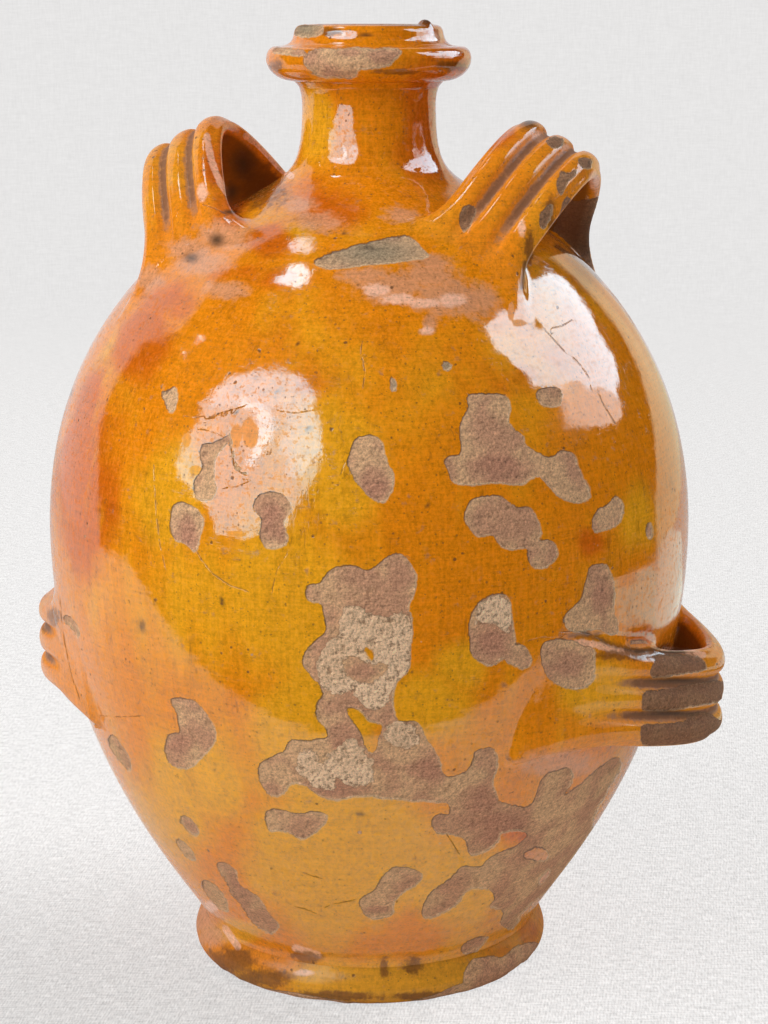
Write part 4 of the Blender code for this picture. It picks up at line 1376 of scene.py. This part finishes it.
def glaze_colour(net, n, rust, shade, edge_shade):
    """Amber glaze that leans yellow or rusty, pools, thins, holds specks and is chipped."""
    lean_rust = net.layer("rust")
    lean_yellow = net.layer("yellow")
    warmth = n.broad + 0.34 * lean_yellow - 0.22 * lean_rust
    redness = (n.cloud + n.broad) * 0.5 + 0.26 * lean_rust - 0.20 * lean_yellow + rust
    glaze = net.tint(AMBER, YELLOW, warmth, -0.04, 0.24)
    glaze = net.tint(glaze, RUST, redness, 0.03, 0.26)
    glaze = net.tint(glaze, POOLED, n.blot, 0.04, 0.30, 0.32)
    glaze = net.tint(glaze, YELLOW, -n.blot, 0.06, 0.28, 0.30)
    for name, (colour, tear, speckle, low, high, strength) in VEILS.items():
        veil = net.layer(name) * 1.2 + n.torn * tear + n.fleck * speckle
        glaze = net.tint(glaze, colour, veil, low, high, strength)
    tone = 1.06 + n.streak * 0.58 + n.brushed * 0.48 + n.fleck * 0.62 + n.grain * 0.95
    glaze = net.scaled(glaze, tone * shade)
    glaze = net.tint(glaze, SPECK_AND_CONTACT_SHADOW, n.speck, 0.08, 0.18, 0.16)
    for flaw, strength in ((n.hair, 0.34), (n.dots, 0.55), (n.iron, 0.80)):
        glaze = net.mix(flaw * strength, glaze, SPECK_AND_CONTACT_SHADOW)
    # A pale rim round each chip, with a painted highlight on its lit side and painted shade on its
    # shaded side
    rim = 1 - net.ease(n.reach, 0.20, 0.55)
    glaze = net.mix(rim * (0.10 + 0.45 * n.lit), glaze, CHIPPED_EDGE_AND_HIGHLIGHT)
    return net.mix(rim * n.shaded * (0.60 * edge_shade), glaze, DARK_STAIN_AND_SHADE)


def clay_colour(net, n, dark, edge_shade):
    """Bare clay from mauve to tan, stained in places, with painted light and shade on its edges."""
    clay = net.tint(MAUVE_CLAY, TAN_CLAY, n.patchy, -0.12, 0.12)
    brown = net.ease(n.torn, 0.04, 0.26) * 0.45 * (1 - dark) + dark * 0.9
    clay = net.mix(brown, clay, BROWN_CLAY)
    clay = net.tint(clay, PINK_CLAY, net.layer("pink") + n.torn * 0.8, 0.10, 0.80, 0.60)
    clay = net.mix(net.layer("grey") * 0.85, clay, GREY_CLAY)
    # A pale rim inside each chip, with a painted highlight on its lit side and painted shade on its
    # shaded side
    rim = net.ease(n.reach + n.fleck * 0.9, -0.75, -0.25)
    clay = net.mix(rim * (0.16 + 0.50 * n.lit) * (1 - dark * 0.6), clay, CHIPPED_EDGE_AND_HIGHLIGHT)
    clay = net.mix(net.ease(n.reach, -0.50, -0.15) * n.shaded * (0.50 * edge_shade), clay, DARK_STAIN_AND_SHADE)
    # Painted light and shade on the clay's grain, lit from the upper left
    raked_shading = raked(net, n.place, 0.0006, 0.0026, 3, 0.6)
    tone = 1.0 + n.grain * 1.3 + n.brushed * 0.6 + raked_shading * 1.5 + n.dust * 1.4
    return net.tint(net.scaled(clay, tone), CHIPPED_EDGE_AND_HIGHLIGHT, n.dust + n.torn * 0.4, 0.12, 0.24, 0.40)


def lime_crust(net, n, clay):
    """Lay lime crust on the clay. Returns the clay's colour and how much it adds in height."""
    edge = net.layer("crust") + n.torn * 5.5 + n.fleck * 3.4
    crust = (1 - net.ease(edge, -0.25, 0.25)) * n.bare
    crumb = net.noise(n.place, 0.0029, 5, 0.70)
    # Painted light and shade on the crust's lumps, lit from the upper left
    raked_shading = raked(net, n.place, 0.0008, 0.0029, 5, 0.70)
    pores = 1 - net.ease(net.cells(n.place, 0.0016) + n.dust, 0.20, 0.60)
    # The clay between the lumps and in the pores, darkened as painted shade in the hollows
    gap = net.highest(1 - net.ease(crumb, 0.34, 0.50), pores * 0.35)
    grit = net.tint(net.mix(gap, LIME_CRUST, CRUST_GAP_AND_SHADE), TAN_CLAY, n.cloud, -0.05, 0.10, 0.30)
    grit = net.scaled(grit, 1.02 + raked_shading * 1.8 + n.dust * 1.4)
    height = crust * (0.60 + (crumb - 0.5) * 2.6 - pores * 0.35) * MM
    return net.mix(crust, clay, grit), height


def glazed_clay(name, rust=0.0, wear=0.0, dark=0.0, rough=0.0, matte=0.0, shade=1.0, edge_shade=1.0,
                ribbed=False, crusted=False):
    """Amber lead glaze over earthenware, worn off in places.

    rust leans the glaze that way, wear adds small chips, dark deepens the bare clay, rough
    blurs and matte takes off some of the gloss, shade darkens the glaze, and crisp says how
    strong the painted shade on the chips' shaded edges is. Ribbed glaze has straps' grooves
    and painted shade on the straps' undersides, crusted clay has lime.
    """
    material, net = new_finish(name)
    n = noises(net, net.node("ShaderNodeTexCoord", None, None, "Object"))
    find_losses(net, n, wear)
    find_flaws(net, n)
    if ribbed:
        dark = dark * (1 - net.ease(net.layer("far"), 0.74, 0.84))
    glaze = glaze_colour(net, n, rust, shade, edge_shade)
    clay = clay_colour(net, n, dark, edge_shade)

    x, _, z = net.split(n.place)
    dull = net.ease(net.layer("dull") * 1.4 + n.torn * 0.8, 0.35, 0.65)
    roughness = 0.045 + rough + net.ease(n.smudge, 0.02, 0.24) * 0.05 + dull * 0.45
    worn = net.highest(net.ease(n.speck, 0.07, 0.16) * 0.62, n.mark, n.dots * 0.8, n.iron * 0.8,
                       dull * 0.65)
    right_shoulder = net.ease(x, 0.030, 0.058) * net.ease(z, 0.210, 0.245)
    worn = worn * (1 - 0.65 * right_shoulder)
    glaze_height = (n.swell * 0.18 + n.ripple * 0.05 + n.fleck * 0.026 + n.grain * 0.008
                    + n.streak * 0.010 - n.iron * 0.06 - n.hair * 0.01) * MM
    clay_height = (n.grain * 0.34 + n.torn * 0.50 + n.fleck * 0.30 + n.brushed * 0.14 - 0.42) * MM

    if ribbed:
        groove = net.layer("groove")
        settled = net.ease(groove + n.torn * 0.7, 0.58, 0.92) * (1 - net.layer("pale"))
        glaze = net.mix(settled * 0.80, glaze, GROOVE_SHADE)
        glaze = net.tint(glaze, GROOVE_CORE, groove + n.fleck * 0.5, 0.84, 1.0, 0.55)
        worn = net.highest(worn, net.ease(groove, 0.10, 0.50) * 0.85)
        # Painted shade on each strap's plain underside, which faces the body
        inward = net.ease(0.5 - abs(net.layer("share") - 0.5), 0.05, 0.12)
        under = (1 - net.layer("front")) * inward
        glaze = net.mix(under * 0.80, glaze, DEEP_BROWN_AND_SHADE)
        clay = net.mix(under * 0.60, clay, DEEP_BROWN_AND_SHADE)
    if crusted:
        clay, raised = lime_crust(net, n, clay)
        clay_height = clay_height + raised

    colour = net.mix(n.bare, glaze, clay)
    # Scratches, and painted contact shadows drawn with them, darken the colour
    colour = net.mix(n.mark * 0.55, colour, SPECK_AND_CONTACT_SHADOW)
    # Dark stains, and painted shade and contact shadows, from the stain layer
    colour = net.mix(net.layer("stain_and_shade") * 0.9 * (1 - 0.3 * n.bare), colour, DARK_STAIN_AND_SHADE)
    height = glaze_height + (clay_height - glaze_height) * n.bare - n.mark * (0.16 * MM)
    bump = net.node("ShaderNodeBump", None, {"Height": height, "Distance": 1.0})
    gloss = net.node("ShaderNodeBsdfPrincipled", None,
                     {"Base Color": colour, "Roughness": roughness, "IOR": 1.8, "Normal": bump})
    dry = net.node("ShaderNodeBsdfPrincipled", None,
                   {"Base Color": colour, "Roughness": 0.9, "Specular IOR Level": 0.2,
                    "Normal": bump})
    dullness = net.highest(n.bare, matte + (1 - matte) * worn)
    shader = net.node("ShaderNodeMixShader", None, {0: dullness, 1: gloss, 2: dry})
    net.node("ShaderNodeOutputMaterial", None, {"Surface": shader})
    return material


# The jug

TURNING = turning_tree()
STRAPPING = strap_tree()
FOOT_GLAZE = glazed_clay("worn_foot_glaze", wear=0.45, rough=0.16, matte=0.70, shade=0.80,
                         edge_shade=0.5)
BODY_GLAZE = glazed_clay("amber_body_glaze", crusted=True)
RIM_GLAZE = glazed_clay("rusty_rim_glaze", rust=0.08, wear=0.40, edge_shade=0.2)
STRAP_GLAZE = glazed_clay("ribbed_strap_glaze", wear=0.25, dark=0.9, matte=0.35, edge_shade=0.5,
                          ribbed=True)


def thrown_sections():
    """Turn the five sections of the body, from the foot up."""
    thrown = (
        ("glazed_foot_ring", foot_outline(), FOOT_GLAZE),
        ("glazed_lower_body", bowl_outline(), BODY_GLAZE),
        ("glazed_shoulder", wall_outline(BELLY_HEIGHT, NECK_SEAM_HEIGHT, SKIN_STEP), BODY_GLAZE),
        ("glazed_neck", wall_outline(NECK_SEAM_HEIGHT, NECK_HEIGHT, FINE_STEP), BODY_GLAZE),
        ("glazed_rim", rim_outline(), RIM_GLAZE),
    )
    return [turned(name, *outline, finish) for name, outline, finish in thrown]


def pulled_straps():
    """Stand the four straps where their foot lines land on the body."""
    upper_chord = BELLY_RADIUS - UPPER_INSET
    landing = hypot(upper_chord, UPPER["Half span"])
    above = OUTER[:, 1] >= BELLY_HEIGHT
    upper_height = float(np.interp(-landing, -OUTER[above, 0], OUTER[above, 1]))
    lower_radius = float(np.interp(LOWER_FOOT_HEIGHT, OUTER[:, 1], OUTER[:, 0]))
    lower_chord = sqrt(lower_radius ** 2 - LOWER["Half span"] ** 2)
    upper = (UPPER, upper_chord, upper_height)
    return [
        strap("glazed_handle_upper_right", *upper, 0.0, UPPER_RIGHT_SKEW, 0.0),
        strap("glazed_handle_upper_left", *upper, pi, 0.0, 0.0),
        strap("glazed_handle_lower_right", LOWER, lower_chord, LOWER_FOOT_HEIGHT, 0.0, 0.0,
              LOWER_RIGHT_ROLL),
        strap("glazed_handle_lower_left", LOWER, lower_chord, LOWER_FOOT_HEIGHT + LOWER_LEFT_LIFT,
              LOWER_LEFT_AZIMUTH, 0.0, 0.0),
    ]


def skin_tree(pieces):
    """Return a search tree of the pieces' faces."""
    points, corners = [], []
    for piece in pieces:
        corners.append(triangles(piece.data) + sum(len(p) for p in points))
        points.append(places(piece.data))
    return BVHTree.FromPolygons(np.vstack(points).tolist(), np.vstack(corners).tolist())


def potted():
    """Turn the sections, stand the straps on them and lute all of it together."""
    foot, bowl, shoulder, neck, rim = body = thrown_sections()
    straps = pulled_straps()
    strap_skins = skin_tree(straps)

    sections = []
    for piece in body:
        points = places(piece.data)
        skin = layer(piece.data, "skin")
        if piece is foot:
            press_sole(points)
        elif piece is rim:
            melt_bead(points)
        else:
            _, out = outline_distance(points)
            points -= (wobble(points) * skin)[:, None] * out
        sections.append([points, facing_of(points, skin_corners(piece.data)), skin])
    for height, lower, upper in zip((WAIST_HEIGHT, BELLY_HEIGHT, NECK_SEAM_HEIGHT),
                                    sections, sections[1:]):
        share_edge(height, lower, upper)

    for piece, (points, facing, skin) in zip(body, sections):
        facing = unit(facing)
        on_skin = skin > 0.5
        if piece in (bowl, shoulder):
            points[on_skin], facing[on_skin] = luted(
                points[on_skin], facing[on_skin], lambda p: strap_gaps(strap_skins, p))
        losses = {foot: FOOT_LOSSES, rim: RIM_LOSSES}.get(piece, BODY_LOSSES)
        finished(piece, points, facing, losses)

    for piece in straps:
        points = places(piece.data)
        paint(piece.data, "skin", np.ones(len(points)))
        facing = unit(facing_of(points, triangles(piece.data)))
        points, facing = luted(points, facing, clay_distance)
        depth, out = outline_distance(points)
        sunk = depth < -STRAP_SINK
        points[sunk] -= out[sunk] * (depth[sunk] + STRAP_SINK)[:, None]
        finished(piece, points, facing, HANDLE_LOSSES | {"root": BODY_LOSSES["strap_root"]})
    return [*body, *straps]


jug = potted()
jug_skin = skin_tree(jug[1:4])
for piece in jug:
    node = piece.name.removeprefix("glazed_")
    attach(piece, "root")
    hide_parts(node)


# Stage, lamps and camera

def direction(azimuth, elevation):
    """Return a direction from the jug: azimuth in degrees to the right of the eye's side."""
    turn = radians(azimuth)
    rise = radians(elevation)
    level = LEVEL_RIGHT * sin(turn) - LEVEL_AHEAD * cos(turn)
    return level * cos(rise) + Vector((0, 0, sin(rise)))


def lamp(name, azimuth, elevation, distance, width, height, glow):
    """Hang a soft oval panel that faces the jug; glow is how bright its face is."""
    data = bpy.data.lights.new(name, "AREA")
    data.shape = "ELLIPSE"
    data.size = width
    data.size_y = height
    face = pi / 4 * width * height
    data.energy = glow * pi * face
    panel = bpy.data.objects.new(name, data)
    away = direction(azimuth, elevation)
    panel.location = LAMP_TARGET + away * distance
    panel.rotation_euler = away.to_track_quat("Z", "Y").to_euler()
    panel.visible_glossy = False
    bpy.context.scene.collection.objects.link(panel)


def board(name, colour, distance, outline):
    """Stand a bright board where the body mirrors it inside the outline. It lights nothing."""
    corners = []
    for across, down in outline:
        ray = (Vector(EYE_FORWARD)
               + Vector(EYE_RIGHT) * ((across - PHOTO_WIDTH / 2) / FOCAL_PIXELS)
               - Vector(EYE_UP) * ((down - PHOTO_HEIGHT / 2) / FOCAL_PIXELS)).normalized()
        spot, _, _, _ = jug_skin.ray_cast(EYE, ray)
        _, out = outline_distance(np.array([spot]))
        out = Vector(out[0])
        corners.append(spot + (ray - 2 * ray.dot(out) * out) * distance)
    mesh = bpy.data.meshes.new(name)
    mesh.from_pydata(corners, [], [range(len(corners))])
    panel = bpy.data.objects.new(name, mesh)
    bpy.context.scene.collection.objects.link(panel)
    panel.visible_camera = False
    panel.visible_diffuse = False
    panel.visible_shadow = False
    material, net = new_finish(name)
    glare = net.node("ShaderNodeEmission", None, {"Color": (*colour, 1), "Strength": 1.0})
    net.node("ShaderNodeOutputMaterial", None, {"Surface": glare})
    mesh.materials.append(material)


def lit_room():
    """World: pale where the lens sees it. In mirrors, a pale wall stands behind the jug.

    Places in the room are sines of directions: how far ahead, to the right and up they lie.
    """
    world = bpy.data.worlds.new("studio")
    world.use_nodes = True
    bpy.context.scene.world = world
    net = Net(world.node_tree)
    camera = net.node("ShaderNodeLightPath", None, None, "Is Camera Ray")
    glossy = net.also(camera, "Is Glossy Ray")
    way = net.node("ShaderNodeTexCoord", None, None, "Generated")
    ahead = net.dot(way, LEVEL_AHEAD)
    right = net.dot(way, LEVEL_RIGHT)
    x, y, rise = net.split(way)

    left_edge = (0.30 + 0.20 * net.ease(rise, -0.15, 0.25) - 0.22 * net.ease(rise, 0.35, 0.60)
                 + 0.27 * net.ease(rise, 0.62, 0.80))
    right_edge = 0.51 + 0.26 * net.ease(rise, -0.15, 0.25)
    edge = left_edge + (right_edge - left_edge) * net.ease(right, -0.10, 0.40)
    wall = net.ease(ahead - edge, -0.02, 0.03) * (1 - net.ease(rise, 0.86, 0.92))
    warm = net.mix(net.ease(right, 0.40, 0.50), TAWNY_WALL, WARM_WALL)
    warm = net.mix(net.ease(rise, -0.08, 0.08), DIM_WALL, warm)
    pale = net.mix(net.ease(right, 0.24, 0.34), PALE_WALL, warm)
    mirrored = net.mix(wall, DARK_ROOM, pale)
    ambient = net.mix(net.ease(rise, -0.2, 0.8), DIM, BRIGHT)

    woven = (net.noise(net.joined(x, y, rise * 8), WALL_THREAD, 2, 0.7)
             + net.noise(net.joined(x * 8, y * 8, rise), WALL_THREAD, 2, 0.7) - 1)
    haze = 1.08 - 0.08 * net.ease(rise, -0.34, -0.16) + woven * 0.14
    backdrop = net.scaled(net.joined(*BACKGROUND), haze)
    colour = net.mix(camera, net.mix(glossy, ambient, mirrored), backdrop)
    shade = net.node("ShaderNodeBackground", None, {"Color": colour, "Strength": 1.0})
    net.node("ShaderNodeOutputWorld", None, {"Surface": shade})


def pale_cloth():
    """Floor: a pale sheet that fades into the background, and ends before the jug in mirrors."""
    bpy.ops.mesh.primitive_circle_add(vertices=96, radius=FLOOR_REACH, fill_type="NGON")
    floor = bpy.context.object
    floor.name = "studio_floor"
    material, net = new_finish("pale_cloth")
    place = net.node("ShaderNodeTexCoord", None, None, "Object")
    near = net.dot(place, -LEVEL_AHEAD)
    right = net.dot(place, LEVEL_RIGHT)
    far = net.vector("LENGTH", place, output=1)
    glossy = net.node("ShaderNodeLightPath", None, None, "Is Glossy Ray")
    camera = net.also(glossy, "Is Camera Ray")

    slub = net.noise(net.joined(right * 0.15, near, 0), FLOOR_THREAD, 3, 0.6)
    ply = net.noise(net.joined(right, near * 0.25, 0), FLOOR_THREAD * 0.8, 3, 0.7)
    lean = net.noise(place, 0.012)
    rib = net.math("SINE", (right + 0.16 * near) * (2 * pi / FLOOR_THREAD) + lean * 9)
    weave_and_shade = 1 + rib * 0.045 + (slub - 0.5) * 0.60 + (ply - 0.5) * 0.90
    # Painted shade: the cloth darker towards the front left
    left_shade = 1 - net.ease(right, -0.04, 0.06)
    weave_and_shade = weave_and_shade * (1.13 + left_shade * (0.03 - 0.25 * net.ease(near, -0.16, 0.06)))
    cloth = net.node("ShaderNodeBsdfPrincipled", None,
                     {"Base Color": net.scaled(net.joined(*CLOTH), weave_and_shade),
                      "Roughness": 0.9, "Specular IOR Level": 0.1})
    paper = net.node("ShaderNodeEmission", None,
                     {"Color": net.scaled(net.joined(*BACKGROUND), weave_and_shade), "Strength": 1.0})
    shade = net.node("ShaderNodeMixShader", None, {0: camera * FLOOR_GLOW, 1: cloth, 2: paper})

    fade = net.ease(far, FLOOR_REACH * 0.45, FLOOR_REACH * 0.95)
    near_edge = net.ease(near + 0.18 * right * right, CLOTH_EDGE, CLOTH_EDGE + 0.008)
    side_edge = net.ease(abs(right + 0.15), 1.00, 1.04)
    below = net.node("ShaderNodeNewGeometry", None, None, "Backfacing")
    hidden = net.highest(fade, net.highest(near_edge, side_edge) * glossy, below)
    gone = net.node("ShaderNodeBsdfTransparent")
    mixed = net.node("ShaderNodeMixShader", None, {0: hidden, 1: shade, 2: gone})
    net.node("ShaderNodeOutputMaterial", None, {"Surface": mixed})
    floor.data.materials.append(material)


def photograph_camera():
    """Stand the camera where the photograph was taken."""
    data = bpy.data.cameras.new("camera")
    data.sensor_fit = "VERTICAL"
    data.sensor_width = SENSOR
    data.sensor_height = SENSOR
    data.lens = FOCAL_PIXELS / PHOTO_HEIGHT * SENSOR
    camera = bpy.data.objects.new("camera", data)
    camera.location = EYE
    camera.rotation_euler = (pi / 2 - EYE_DIP, 0, EYE_TURN)
    bpy.context.scene.collection.objects.link(camera)
    bpy.context.scene.camera = camera


lit_room()
pale_cloth()
for name, hung in LAMPS.items():
    lamp(name, *hung)
for name, stood in BOARDS.items():
    board(name, *stood)
photograph_camera()
bpy.context.scene.view_settings.view_transform = "Standard"
